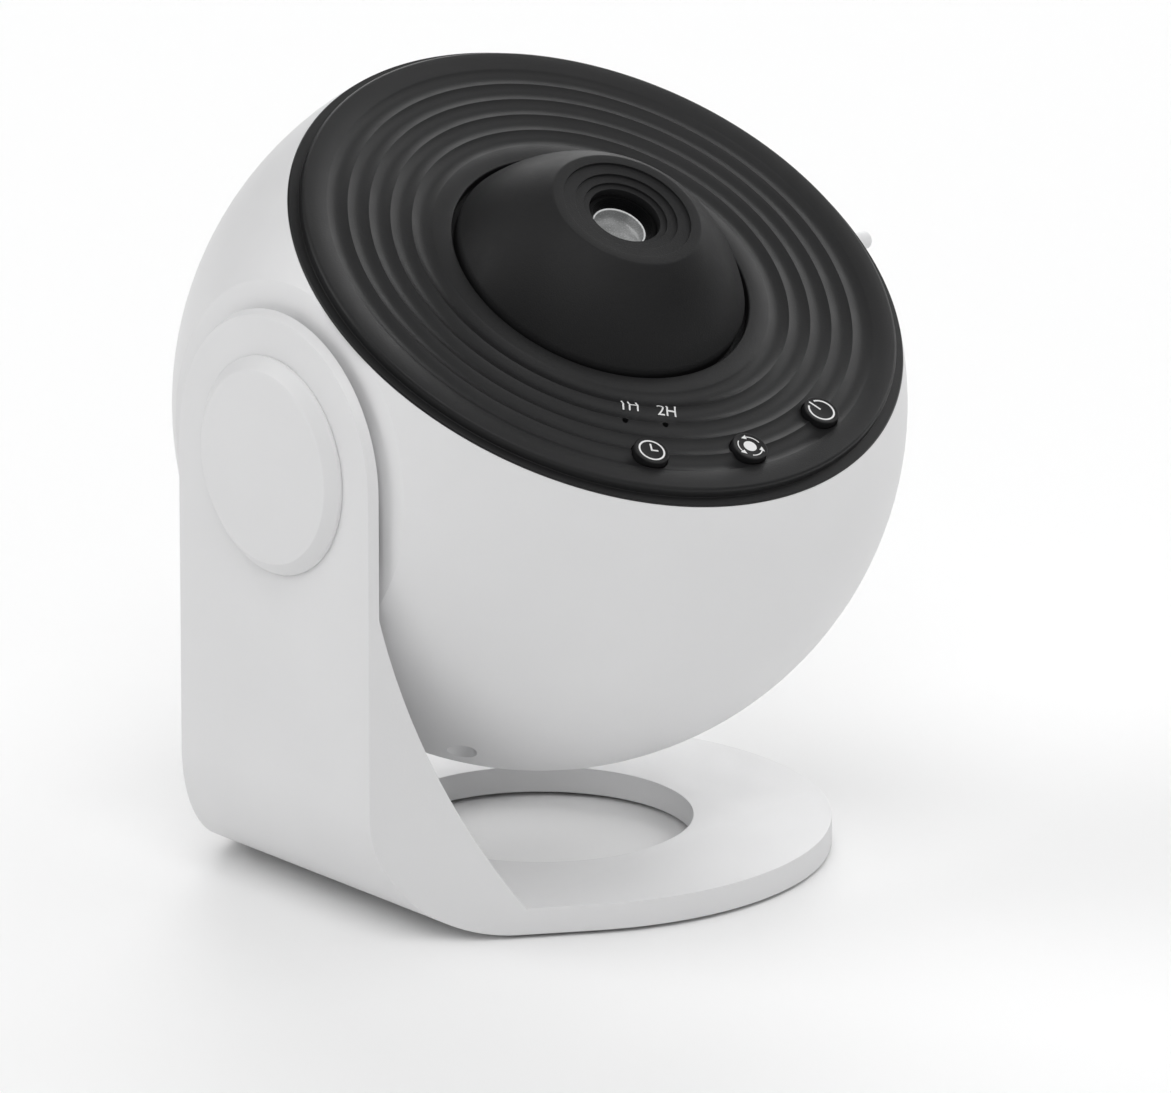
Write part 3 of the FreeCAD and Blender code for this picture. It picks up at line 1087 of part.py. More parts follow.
def make_film_drive():
    # The film ring has a tooth gap towards the pinion, and the pinion a tooth towards the ring.
    ring_turn = math.pi + math.pi / val("ring_tooth_count")
    gear = gear_solid("ring_gear_blank", "ring_tooth_count", "ring_bottom", "ring_top", ring_turn)
    collar_bore = upright("ring_bore", "tray_light_radius + collar_wall + spin_clearance",
                          "ring_bottom - overrun", "ring_shelf_bottom")
    light = upright("ring_light", "ring_shelf_radius", "0", "ball_radius")
    seat = upright("film_seat", "film_radius + film_clearance", "ring_shelf_top", "ring_top + overrun")
    node(cut("film_ring", gear, collar_bore, light, seat), "film_ring", tilt=True)
    film = upright("film_plate", "film_radius", "ring_shelf_top", "ring_shelf_top + film_thickness")
    node(group("film_disc", [film]), "film_disc", tilt=True)
    pinion = gear_solid("pinion_blank", "pinion_tooth_count", "pinion_bottom", "ring_top", 0.0)
    bore = upright("pinion_bore", "motor_shaft_radius", "0", "ball_radius")
    pinion = cut("pinion_cut", pinion, bore)
    bind(pinion, Placement__Base__x="motor_x")
    node(group("drive_pinion", [pinion]), "drive_pinion", tilt=True)
    mount = "(film_deck_level - lamp_gap)"
    ear_low = "%s - motor_ear_thickness" % mount
    shaft = upright("motor_shaft_pin", "motor_shaft_radius", "%s - shaft_seat_depth" % mount, "shaft_top",
                    "motor_x")
    node(group("motor_shaft", [shaft]), "motor_shaft", tilt=True)
    can = upright("motor_can", "motor_radius", "%s - motor_height" % ear_low, ear_low, "motor_x")
    ears = box("motor_ears", "motor_x - motor_ear_half_width", "motor_x + motor_ear_half_width",
               "0 - motor_ear_reach", "motor_ear_reach", ear_low, mount)
    boss = upright("motor_boss", "motor_boss_radius", "%s - overrun" % ear_low,
                   "%s + motor_boss_height" % mount, "motor_x")
    bore = upright("motor_bore", "motor_shaft_radius + focus_clearance",
                   "%s - shaft_seat_depth - lamp_gap" % mount, "ball_radius", "motor_x")
    holes = [upright("motor_ear_hole_%d" % i, "small_shank + weight_gap", "0", "ball_radius", "motor_x",
                     signed(sign, "motor_screw_reach")) for i, sign in enumerate((1, -1))]
    node(cut("motor", fuse("motor_blank", can, ears, boss), bore, *holes), "motor", tilt=True)
    screws = [screw("motor_screw_%d" % i, "motor_x", signed(sign, "motor_screw_reach"), ear_low, 1,
                    "motor_ear_thickness + thread_bite / 2", "small") for i, sign in enumerate((1, -1))]
    node(group("motor_screws", screws), "motor_screws", tilt=True)


# Lamp


def lamp_ear_spots():
    """Places of the three screws that hold the lamp housing under the film deck."""
    return [polar("lamp_ear_ring", turn) for turn in THREE_WAYS]


def make_lamp():
    inner = "(lamp_outer_radius - lamp_wall)"
    ledge = "lens_ledge_level"
    top = "lamp_top"
    tube = turned("lamp_tube", [
        (inner, "lamp_bottom"), ("lamp_outer_radius", "lamp_bottom"), ("lamp_outer_radius", top),
        (inner, top), (inner, "%s + lens_ledge_thickness" % ledge),
        ("lens_ledge_radius", "%s + lens_ledge_thickness" % ledge), ("lens_ledge_radius", ledge),
        (inner, ledge)])
    flange_low = "%s - lamp_flange_thickness" % top
    ears, holes = [], []
    for i, turn in enumerate(THREE_WAYS):
        x, y = polar("lamp_ear_ring", turn)
        ear = upright("lamp_ear_%d" % i, "lamp_ear_radius", flange_low, top, x, y)
        start = "(lamp_outer_radius - lamp_wall / 2)"
        bridge = box("lamp_bridge_%d" % i, start, "lamp_ear_ring", "0 - lamp_ear_radius",
                     "lamp_ear_radius", "0", "lamp_flange_thickness")
        place(bridge, "%s * cos(%d) + lamp_ear_radius * sin(%d)" % (start, turn, turn),
              "%s * sin(%d) - lamp_ear_radius * cos(%d)" % (start, turn, turn), flange_low,
              axis=(0, 0, 1), angle=str(turn))
        ears += [ear, bridge]
        holes.append(upright("lamp_ear_hole_%d" % i, "small_shank + weight_gap", "0", "ball_radius",
                             x, y))
    lugs, threads = [], []
    for i, sign in enumerate((1, -1)):
        y = signed(sign, "sink_ear_ring")
        lugs.append(upright("lamp_lug_%d" % i, "sink_ear_radius", "lamp_bottom",
                            "lamp_bottom + lamp_lug_height", "0", y))
        low_y, high_y = "lamp_outer_radius - lamp_wall / 2", "sink_ear_ring"
        if sign < 0:
            low_y, high_y = "0 - (%s)" % high_y, "0 - (%s)" % low_y
        lugs.append(box("lamp_lug_bridge_%d" % i, "0 - lamp_wall", "lamp_wall", low_y, high_y,
                        "lamp_bottom", "lamp_bottom + lamp_lug_height"))
        threads.append(upright("lamp_lug_thread_%d" % i, "small_shank", "lamp_bottom - overrun",
                               "lamp_bottom + lamp_lug_height - overrun", "0", y))
    node(cut("lamp_housing", fuse("lamp_blank", tube, *(ears + lugs)), *(holes + threads)),
         "lamp_housing", tilt=True)
    screws = [screw("lamp_screw_%d" % i, x, y, flange_low, 1, "lamp_flange_thickness + thread_bite / 2",
                    "small") for i, (x, y) in enumerate(lamp_ear_spots())]
    node(group("lamp_screws", screws), "lamp_screws", tilt=True)
    glass_low = "(lens_ledge_level + lens_ledge_thickness + lamp_gap)"
    glass_r = "%s - lamp_gap" % inner
    bulge = "(condenser_thickness - condenser_edge)"
    curve = "((%s) ^ 2 + %s ^ 2) / (2 * %s)" % (glass_r, bulge, bulge)
    node(turned("condenser_lens", [
        ("0", glass_low), (glass_r, glass_low), (glass_r, "%s + condenser_edge" % glass_low, curve, 1),
        ("0", "%s + condenser_thickness" % glass_low)]), "condenser_lens", tilt=True)
    board_low = "(lamp_bottom - lamp_gap - led_board_thickness)"
    board_top = "lamp_bottom - lamp_gap"
    board = upright("led_board_disc", "sink_radius", board_low, board_top)
    rooms = [upright("led_board_room_%d" % i, "sink_ear_radius + weight_gap", "0 - ball_radius", "0",
                     "0", signed(sign, "sink_ear_ring")) for i, sign in enumerate((1, -1))]
    node(cut("led_board", board, *rooms), "led_board", tilt=True)
    led_top = "lamp_bottom + lamp_gap + led_height"
    node(turned("led_emitter", [
        ("0", board_top), ("led_radius", board_top),
        ("led_radius", led_top + " - led_radius", "led_radius", 1), ("0", led_top)]),
         "led_emitter", tilt=True)
    sink_top = "(%s - lamp_gap)" % board_low
    blank = upright("sink_blank", "sink_radius", "%s - sink_height" % sink_top, sink_top)
    base_low = "(%s - sink_base_thickness)" % sink_top
    ears = []
    for i, sign in enumerate((1, -1)):
        y = signed(sign, "sink_ear_ring")
        ears.append(upright("sink_ear_%d" % i, "sink_ear_radius", base_low, board_top, "0", y))
        low_y, high_y = "sink_radius - lamp_wall", "sink_ear_ring"
        if sign < 0:
            low_y, high_y = "0 - (%s)" % high_y, "0 - (%s)" % low_y
        ears.append(box("sink_bridge_%d" % i, "0 - lamp_wall", "lamp_wall", low_y, high_y, base_low,
                        sink_top))
    slots = []
    for i in range(int(val("fin_slot_count"))):
        middle = "(%d - (fin_slot_count - 1) / 2) * fin_pitch" % i
        slots.append(box("fin_slot_%d" % i, "%s - fin_slot_width / 2" % middle,
                         "%s + fin_slot_width / 2" % middle, "0 - ball_radius", "ball_radius",
                         "0 - ball_radius", base_low))
    holes = [upright("sink_hole_%d" % i, "small_shank + weight_gap", "0 - ball_radius", "0", "0",
                     signed(sign, "sink_ear_ring")) for i, sign in enumerate((1, -1))]
    node(cut("heat_sink", fuse("sink_whole", blank, *ears), *(slots + holes)), "heat_sink", tilt=True)
    screws = [screw("sink_screw_%d" % i, "0", signed(sign, "sink_ear_ring"), base_low, 1,
                    "(%s - %s) + thread_bite" % (board_top, base_low), "small")
              for i, sign in enumerate((1, -1))]
    node(group("sink_screws", screws), "sink_screws", tilt=True)


# Electronics


def make_electronics():
    board = box("main_board_plate", "0 - board_half_width", "board_half_width", "board_front",
                "board_back", "board_level", "board_top")
    holes = [upright("main_board_hole_%d" % i, "small_shank + weight_gap", "board_level - overrun",
                     "board_top + overrun", signed(sx, "board_screw_x"), y)
             for i, (sx, y) in enumerate(board_spots())]
    node(cut("main_board", board, *holes), "main_board", tilt=True)
    screws = [screw("board_screw_%d" % i, signed(sx, "board_screw_x"), y, "board_top", -1,
                    "board_thickness + thread_bite", "small") for i, (sx, y) in enumerate(board_spots())]
    node(group("board_screws", screws), "board_screws", tilt=True)
    chip = box("control_chip", "0 - board_half_width / 4", "board_half_width / 4",
               "board_front + board_screw_inset * 3", "board_front + board_screw_inset * 4.8",
               "board_top", "board_top + board_thickness")
    coil = upright("power_coil", "standoff_radius", "board_top", "board_top + board_thickness * 2",
                   "board_half_width / 2", "board_back - board_screw_inset * 2.4")
    can = upright("storage_can", "standoff_radius", "board_top", "board_top + board_thickness * 3",
                  "0 - board_half_width / 2", "board_back - board_screw_inset * 2.4")
    plugs = []
    for i, (x, y) in enumerate(lead_plugs()):
        half = "standoff_radius"
        plugs.append(box("lead_plug_%d" % i, "(%s) - %s" % (x, half), "(%s) + %s" % (x, half),
                         "(%s) - %s" % (y, half), "(%s) + %s" % (y, half), "board_top",
                         "board_top + board_thickness * 2"))
    node(group("board_components", [chip, coil, can] + plugs), "board_components", tilt=True)
    outer = box("usb_outer", "0 - usb_half_width", "usb_half_width", "usb_start", "usb_end",
                "board_top", "board_top + usb_height")
    room = box("usb_room", "0 - usb_half_width + usb_wall", "usb_half_width - usb_wall",
               "usb_start + usb_wall * 2", "usb_end + overrun", "board_top + usb_wall",
               "board_top + usb_height - usb_wall")
    outer = rounded("usb_outer_round", outer, "usb_height / 2 - usb_wall", along_y)
    room = rounded("usb_room_round", room, "usb_height / 2 - usb_wall * 2", along_y)
    node(cut("usb_socket", outer, room), "usb_socket", tilt=True)
    mid = "(board_top + usb_height / 2)"
    node(group("usb_tongue", [box("usb_tongue_plate", "0 - usb_tongue_half_width", "usb_tongue_half_width",
                                  "usb_start + usb_wall * 2", "usb_start + usb_tongue_length",
                                  "%s - usb_tongue_thickness / 2" % mid,
                                  "%s + usb_tongue_thickness / 2" % mid)]), "usb_tongue", tilt=True)


def along_y(edge):
    """An edge parallel to Y."""
    span = edge.BoundBox
    return span.YLength > span.XLength + span.ZLength


def lead_plugs():
    """Places of the three plugs on the main board's front half."""
    return [("board_half_width / 2", "board_front + board_screw_inset * 2"),
            ("0 - board_half_width / 2", "board_front + board_screw_inset * 2"),
            ("0", "board_front + standoff_radius")]


def tube_along(points, radius, bend):
    """A round tube along straight runs joined by tangent arcs."""
    corners = [Vec(*p) for p in points]
    edges, bends = [], []
    here = corners[0]
    for a, b, c in zip(corners, corners[1:], corners[2:]):
        back, ahead = (a - b).normalize(), (c - b).normalize()
        turn = math.pi - back.getAngle(ahead)
        shorter = min((a - b).Length, (c - b).Length)
        size = min(bend, 0.45 * shorter / math.tan(turn / 2))
        trim = size * math.tan(turn / 2)
        bends.append("%.1f" % size)
        start, stop = b + back * trim, b + ahead * trim
        middle_way = (back + ahead).normalize()
        middle = b + middle_way * (size / math.cos(turn / 2) - size)
        edges.append(Part.LineSegment(here, start).toShape())
        edges.append(Part.Arc(start, middle, stop).toShape())
        here = stop
    edges.append(Part.LineSegment(here, corners[-1]).toShape())
    path = Part.Wire(edges)
    profile = Part.Wire(Part.makeCircle(radius, corners[0], (corners[1] - corners[0]).normalize()))
    tube = path.makePipeShell([profile], True, False)
    print("lead volume %.1f, section times length %.1f, bend radii %s"
          % (tube.Volume, math.pi * radius ** 2 * path.Length, " ".join(bends)))
    return tube


def lead(name, points):
    """A lead held inside the head, from expressions of its route's corners."""
    spots = [(val(x), val(y), val(z)) for x, y, z in points]
    obj = doc.addObject("Part::Feature", name + "_tube")
    obj.Shape = tube_along(spots, val("lead_radius"), val("lead_bend"))
    node(group(name + "_place", [obj]), name, tilt=True)


def make_leads():
    plug_top = "board_top + board_thickness * 2"
    (lamp_x, lamp_y), (motor_plug_x, motor_plug_y), (key_x, key_y) = lead_plugs()
    side = "(sink_radius + lead_bend + lead_radius)"
    led_z = "(lamp_bottom - lamp_gap - led_board_thickness / 2)"
    lead("lamp_lead", [(lamp_x, lamp_y, plug_top), (lamp_x, lamp_y, plug_top + " + lead_bend * 1.1"),
                       (side, lamp_y, plug_top + " + lead_bend * 2"), (side, "0", led_z),
                       ("sink_radius", "0", led_z)])
    motor_low = "(film_deck_level - lamp_gap - motor_ear_thickness - motor_height)"
    lead("motor_lead", [(motor_plug_x, motor_plug_y, plug_top),
                        (motor_plug_x, motor_plug_y, plug_top + " + lead_bend * 1.1"),
                        ("motor_x", motor_plug_y, plug_top + " + lead_bend * 3"),
                        ("motor_x", "0", motor_low + " - lead_bend * 2.4"), ("motor_x", "0", motor_low)])
    front = "0 - key_screw_ring"
    lead("button_lead", [(key_x, key_y, plug_top), (key_x, key_y, plug_top + " + lead_bend * 1.1"),
                         (key_x, "0 - lamp_outer_radius", plug_top + " + lead_bend * 0.6"),
                         (key_x, front, "0 - sink_radius"), (key_x, front, "key_board_level")])


# The whole object

make_stand()
make_base_inside()
make_rear_shell(make_pivot())
make_face_cover()
make_focus_cone()
make_lens_barrel()
make_decks()
make_film_tray()
make_film_drive()
make_lamp()
make_electronics()
make_buttons()
make_leads()
doc.recompute()

broken = [obj.Name for obj in doc.Objects if "Invalid" in obj.State or "Error" in obj.State]
broken += [obj.Label for obj in NODES
           if obj.Shape.isNull() or not obj.Shape.isValid() or not obj.Shape.Solids]
if broken:
    raise RuntimeError("did not build: " + ", ".join(broken))

os.makedirs("parts", exist_ok=True)
for obj in NODES:
    obj.Shape.exportStep("parts/%s.step" % obj.Label)
    print("%-22s %2d solid %10.1f mm3" % (obj.Label, len(obj.Shape.Solids), obj.Shape.Volume))
print(len(NODES), "nodes")
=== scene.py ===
"""Planetarium projector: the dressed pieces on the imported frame, a plain studio and the camera.

Sizes are in millimetres and become metres where a mesh is made. The head's pieces are drawn
upright about the ball's centre, with the face towards +Z, and are then leaned forward by TILT.
"""
import math

import bmesh
import bpy
from mathutils import Matrix, Vector


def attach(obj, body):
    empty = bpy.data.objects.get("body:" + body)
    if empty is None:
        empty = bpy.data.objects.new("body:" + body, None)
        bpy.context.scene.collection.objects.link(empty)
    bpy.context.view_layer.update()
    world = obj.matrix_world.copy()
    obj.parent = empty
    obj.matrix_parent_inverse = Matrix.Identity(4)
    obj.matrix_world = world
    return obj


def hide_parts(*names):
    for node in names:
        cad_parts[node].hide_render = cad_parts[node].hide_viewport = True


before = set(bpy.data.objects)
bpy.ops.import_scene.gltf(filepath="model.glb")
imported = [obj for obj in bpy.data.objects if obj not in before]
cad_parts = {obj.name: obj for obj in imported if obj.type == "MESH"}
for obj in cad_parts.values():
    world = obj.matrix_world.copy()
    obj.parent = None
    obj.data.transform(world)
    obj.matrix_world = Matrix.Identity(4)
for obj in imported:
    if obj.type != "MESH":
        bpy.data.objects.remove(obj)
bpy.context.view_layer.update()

MM = 0.001
BALL_CENTRE = Vector((-1.52, 0, 88.2)) * MM
TILT = math.radians(30.7)
HEAD = Matrix.Translation(BALL_CENTRE) @ Matrix.Rotation(TILT, 4, "X")
STAND = Matrix.Translation(BALL_CENTRE)

BALL_RADIUS = 70.0
RIM_LEVEL = 33.3
COVER_TOP = 35.9
COVER_UNDER = 33.7
CONE_RIM = 51.1

# The round ripples of the face, and the spots of its buttons, lamps and legends
RIPPLE_START, RIPPLE_STEP, RIPPLE_COUNT, RIPPLE_DEPTH = 33.4, 4.25, 5, 0.6
BUTTON_RING, BUTTON_RADIUS, BUTTON_RISE = 50.5, 3.5, 0.9
BUTTON_TURNS = {"timer": -24.2, "rotate": 0.0, "power": 24.2}
PIN_LAMP_RING, PIN_LAMP_HOLE, PIN_LAMP_TURNS = 42.0, 0.62, (-28.7, -17.6)
LEGENDS = (("1H", -17.0, -33.7), ("2H", -10.1, -37.0))

# The lens barrel's guide pins and the helical slots of the cone that they run in
GUIDE_LEVEL, GUIDE_LEAD, GUIDE_LOW, GUIDE_HIGH = 35.4, 2.8648, -3.5, 2.5

# Screw places, in the four corners or on a circle between two angles
FOUR_CORNERS = [(sx, sy) for sx in (1, -1) for sy in (1, -1)]
SHELL_SCREWS = [(34.2 * sx, 45.6 * sy) for sx, sy in FOUR_CORNERS]
CHASSIS_SCREWS = [(36.0 * sx, 35.0 * sy) for sx, sy in FOUR_CORNERS]
BUTTON_BOARD_SCREWS = (48.0, 258, 282)


# Node trees


class Tree:
    """A short way to add and join nodes."""

    def __init__(self, tree):
        self.tree = tree

    def add(self, kind, inputs=(), **settings):
        node = self.tree.nodes.new(kind)
        for key, value in settings.items():
            setattr(node, key, value)
        for key, value in dict(inputs).items():
            if isinstance(value, bpy.types.NodeSocket):
                self.tree.links.new(value, node.inputs[key])
            else:
                node.inputs[key].default_value = value
        return node

    def math(self, operation, first, second=0.0):
        node = self.add("ShaderNodeMath", {0: first, 1: second}, operation=operation)
        return node.outputs[0]

    def less(self, value):
        """The value with its sign turned."""
        return self.math("SUBTRACT", 0.0, value)

    def total(self, *terms):
        amount = terms[0]
        for term in terms[1:]:
            amount = self.math("ADD", amount, term)
        return amount

    def ramp(self, value, start, stop, amount):
        """Nothing up to the start, the amount from the stop on, and even between them."""
        node = self.add("ShaderNodeMapRange", {"Value": value, "From Min": start, "From Max": stop,
                                               "To Min": 0.0, "To Max": amount})
        return node.outputs["Result"]


def surface(name, colour, roughness, **settings):
    """A new node material with its constant values on the shader's own sockets."""
    material = bpy.data.materials.new(name)
    material.use_nodes = True
    tree = Tree(material.node_tree)
    shader = material.node_tree.nodes["Principled BSDF"]
    shader.inputs["Base Color"].default_value = (*colour, 1)
    shader.inputs["Roughness"].default_value = roughness
    for key, value in settings.items():
        shader.inputs[key.replace("_", " ")].default_value = value
    place = tree.add("ShaderNodeTexCoord").outputs["Object"]
    return material, tree, shader, place


def mottle(tree, place, size, low, high, detail=2.0):
    """Noise of a feature size in millimetres, spread between two values."""
    noise = tree.add("ShaderNodeTexNoise", {"Vector": place, "Scale": 1 / (size * MM), "Detail": detail})
    spread = tree.add("ShaderNodeMapRange", {"Value": noise.outputs["Fac"], "From Min": 0.3,
                                             "From Max": 0.7, "To Min": low, "To Max": high})
    return spread.outputs["Result"]


def tint(tree, amount, dark, light):
    """A colour that runs from dark to light as the amount goes from 0 to 1."""
    mix = tree.add("ShaderNodeMix", data_type="RGBA")
    tree.tree.links.new(amount, mix.inputs["Factor"])
    mix.inputs[6].default_value = (*dark, 1)
    mix.inputs[7].default_value = (*light, 1)
    return mix.outputs[2]


def relief(tree, shader, height, depth):
    """Bump from a height of 0 to 1, with its full depth in millimetres."""
    bump = tree.add("ShaderNodeBump", {"Height": height, "Distance": depth * MM, "Strength": 1.0})
    tree.tree.links.new(bump.outputs["Normal"], shader.inputs["Normal"])


def moulded_plastic(name, colour, roughness, spread, grain, depth, **settings):
    """Moulded plastic: spark-eroded grain, a slow drift of tone and uneven gloss."""
    material, tree, shader, place = surface(name, colour, roughness, **settings)
    drift = mottle(tree, place, 24.0, 0.0, 1.0)
    dark = [c * (1 - spread) for c in colour]
    light = [c * (1 + spread) for c in colour]
    tree.tree.links.new(tint(tree, drift, dark, light), shader.inputs["Base Color"])
    gloss = mottle(tree, place, 6.0, roughness - 0.03, roughness + 0.04, 4.0)
    tree.tree.links.new(gloss, shader.inputs["Roughness"])
    relief(tree, shader, mottle(tree, place, grain, 0.0, 1.0, 3.0), depth)
    return material


def turned_metal(name, colour, roughness):
    """Machined metal with fine turning or rolling lines."""
    material, tree, shader, place = surface(name, colour, roughness, Metallic=1.0)
    stretch = tree.add("ShaderNodeMapping", {"Vector": place, "Scale": (1.0, 1.0, 14.0)})
    streak = mottle(tree, stretch.outputs["Vector"], 3.5, roughness - 0.08, roughness + 0.1, 5.0)
    tree.tree.links.new(streak, shader.inputs["Roughness"])
    drift = mottle(tree, place, 3.0, 0.0, 1.0)
    dark = [c * 0.92 for c in colour]
    tree.tree.links.new(tint(tree, drift, dark, colour), shader.inputs["Base Color"])
    relief(tree, shader, mottle(tree, place, 0.5, 0.0, 1.0), 0.004)
    return material


def lens_glass(name, colour):
    """Clear optical glass with a trace of dust."""
    material, tree, shader, place = surface(name, colour, 0.0, IOR=1.52, Transmission_Weight=1.0)
    dust = mottle(tree, place, 0.35, 0.0, 1.0, 6.0)
    fleck = tree.math("GREATER_THAN", dust, 0.97)
    tree.tree.links.new(tree.math("MULTIPLY", fleck, 0.25), shader.inputs["Roughness"])
    return material


def painted_reflection_lens(name, dark, light):
    """A lens whose pale grey base colour is a painted reflection, and which hides the lamp behind it."""
    material, tree, shader, place = surface(name, light, 0.25, IOR=1.52, Transmission_Weight=0.1,
                                            Coat_Weight=0.6, Coat_Roughness=0.08)
    # The painted reflection's tone varies at random between the dark and the light grey.
    painted_reflection_mottle = mottle(tree, place, 4.0, 0.0, 1.0, 1.0)
    tree.tree.links.new(tint(tree, painted_reflection_mottle, dark, light), shader.inputs["Base Color"])
    dust = mottle(tree, place, 0.35, 0.2, 0.3, 6.0)
    tree.tree.links.new(dust, shader.inputs["Roughness"])
    return material


def board_laminate(name, mask, copper):
    """Circuit board: solder mask over thin tracks."""
    material, tree, shader, place = surface(name, mask, 0.35, Coat_Weight=0.3)
    light = [c * 1.25 for c in mask]
    cells = tree.add("ShaderNodeTexBrick", {"Vector": place, "Scale": 1 / (9 * MM), "Mortar Size": 0.03,
                                            "Color1": (*mask, 1), "Color2": (*light, 1),
                                            "Mortar": (*copper, 1)})
    tree.tree.links.new(cells.outputs["Color"], shader.inputs["Base Color"])
    relief(tree, shader, cells.outputs["Fac"], 0.03)
    return material


def star_film(name):
    """The film disc: dark glass with a generic scatter of points like stars."""
    material, tree, shader, place = surface(name, (0.01, 0.012, 0.03), 0.12, IOR=1.5, Coat_Weight=0.6)
    cells = tree.add("ShaderNodeTexVoronoi", {"Vector": place, "Scale": 1 / (1.6 * MM)})
    star = tree.math("LESS_THAN", cells.outputs["Distance"], 0.09)
    haze = mottle(tree, place, 7.0, 0.0, 1.0, 5.0)
    sky = tint(tree, haze, (0.006, 0.008, 0.03), (0.03, 0.02, 0.09))
    mix = tree.add("ShaderNodeMix", data_type="RGBA")
    tree.tree.links.new(star, mix.inputs["Factor"])
    tree.tree.links.new(sky, mix.inputs[6])
    mix.inputs[7].default_value = (0.85, 0.9, 1.0, 1)
    tree.tree.links.new(mix.outputs[2], shader.inputs["Base Color"])
    return material


WHITE = moulded_plastic("white_shell_plastic", (0.78, 0.78, 0.785), 0.42, 0.012, 0.45, 0.006)
STAND_WHITE = moulded_plastic("white_stand_plastic", (0.76, 0.76, 0.765), 0.45, 0.012, 0.45, 0.006)
CAP_WHITE = moulded_plastic("white_cap_plastic", (0.76, 0.76, 0.765), 0.42, 0.01, 0.45, 0.005)
BLACK = moulded_plastic("black_face_plastic", (0.011, 0.011, 0.0115), 0.42, 0.08, 0.3, 0.012,
                        Specular_IOR_Level=0.25)
CONE_BLACK = moulded_plastic("black_cone_plastic", (0.0115, 0.0115, 0.012), 0.52, 0.08, 0.3, 0.012,
                             Specular_IOR_Level=0.18)
BUTTON_BLACK = moulded_plastic("black_button_rubber", (0.009, 0.009, 0.0095), 0.5, 0.1, 0.25, 0.01,
                               Specular_IOR_Level=0.2)
BARREL_BLACK = moulded_plastic("black_barrel_plastic", (0.003, 0.003, 0.0032), 0.5, 0.1, 0.2, 0.006,
                               Specular_IOR_Level=0.08)
DECK_GREY = moulded_plastic("grey_deck_plastic", (0.05, 0.05, 0.052), 0.5, 0.08, 0.5, 0.01)
COVER_GREY = moulded_plastic("grey_base_plastic", (0.11, 0.11, 0.112), 0.5, 0.06, 0.5, 0.01)
SLIP_PLASTIC = moulded_plastic("natural_acetal", (0.72, 0.69, 0.6), 0.32, 0.03, 0.6, 0.004,
                               Subsurface_Weight=0.1)
PAD_RUBBER = moulded_plastic("foot_rubber", (0.03, 0.03, 0.031), 0.75, 0.15, 0.35, 0.03)
SWITCH_PLASTIC = moulded_plastic("switch_plastic", (0.03, 0.03, 0.03), 0.4, 0.1, 0.3, 0.01)
WHITE_INK = moulded_plastic("white_ink", (0.82, 0.82, 0.82), 0.55, 0.02, 0.2, 0.002)
ZINC = turned_metal("zinc_plated_steel", (0.62, 0.63, 0.65), 0.32)
SCREW_STEEL = turned_metal("screw_steel", (0.45, 0.46, 0.48), 0.3)
MOTOR_STEEL = turned_metal("motor_can_steel", (0.6, 0.6, 0.61), 0.28)
LAMP_METAL = turned_metal("cast_lamp_aluminium", (0.75, 0.76, 0.77), 0.42)
# The front lens's grey base colour is a painted reflection.
FRONT_GLASS_PAINTED_REFLECTION = painted_reflection_lens("front_lens_glass", (0.2, 0.205, 0.205), (0.36, 0.365, 0.365))
LENS_EDGE = moulded_plastic("ground_lens_edge", (0.85, 0.86, 0.86), 0.3, 0.01, 0.3, 0.002)
LAMP_GLASS = lens_glass("condenser_glass", (0.95, 0.98, 0.97))
BOARD = board_laminate("board_laminate", (0.01, 0.07, 0.035), (0.05, 0.16, 0.09))
FILM = star_film("star_film")
LED_RESIN = moulded_plastic("led_resin", (0.85, 0.8, 0.5), 0.15, 0.02, 0.5, 0.002, Subsurface_Weight=0.4)
PIN_RESIN = moulded_plastic("indicator_resin", (0.02, 0.02, 0.022), 0.2, 0.02, 0.5, 0.002)
LEAD_JACKET = moulded_plastic("lead_jacket", (0.35, 0.02, 0.015), 0.4, 0.05, 0.4, 0.01)


# Meshes

# The greatest turn from one straight piece of a rounded corner to the next
CHORD_DEGREES = 15


def rounded(outline):
    """Points of a closed outline of (x, y) or (x, y, radius), with each radius as an arc."""
    points = []
    count = len(outline)
    for i, corner in enumerate(outline):
        here = Vector(corner[:2])
        radius = corner[2] if len(corner) > 2 else 0
        back = Vector(outline[i - 1][:2]) - here
        ahead = Vector(outline[(i + 1) % count][:2]) - here
        if radius == 0:
            points.append(tuple(here))
            continue
        turn = math.pi - back.angle(ahead)
        trim = min(radius * math.tan(turn / 2), 0.49 * back.length, 0.49 * ahead.length)
        radius = trim / math.tan(turn / 2)
        start, stop = here + back.normalized() * trim, here + ahead.normalized() * trim
        way = (back.normalized() + ahead.normalized()).normalized()
        centre = here + way * (radius / math.cos(turn / 2))
        steps = max(2, int(math.degrees(turn) / CHORD_DEGREES))
        first, last = start - centre, stop - centre
        for k in range(steps + 1):
            arm = first.lerp(last, k / steps).normalized() * radius
            points.append(tuple(centre + arm))
    return points


def side_by_side(mesh, parts):
    """Add closed meshes to a mesh, and free them."""
    for part in parts:
        data = bpy.data.meshes.new("part")
        part.to_mesh(data)
        part.free()
        mesh.from_mesh(data)
        bpy.data.meshes.remove(data)


def arc(start, stop, centre, steps):
    """Points on a circle from one place to another, the shorter way round."""
    first, last = Vector(start) - Vector(centre), Vector(stop) - Vector(centre)
    sweep = math.atan2(first.x * last.y - first.y * last.x, first.dot(last))
    base = math.atan2(first.y, first.x)
    return [(centre[0] + first.length * math.cos(base + sweep * k / steps),
             centre[1] + first.length * math.sin(base + sweep * k / steps)) for k in range(steps + 1)]


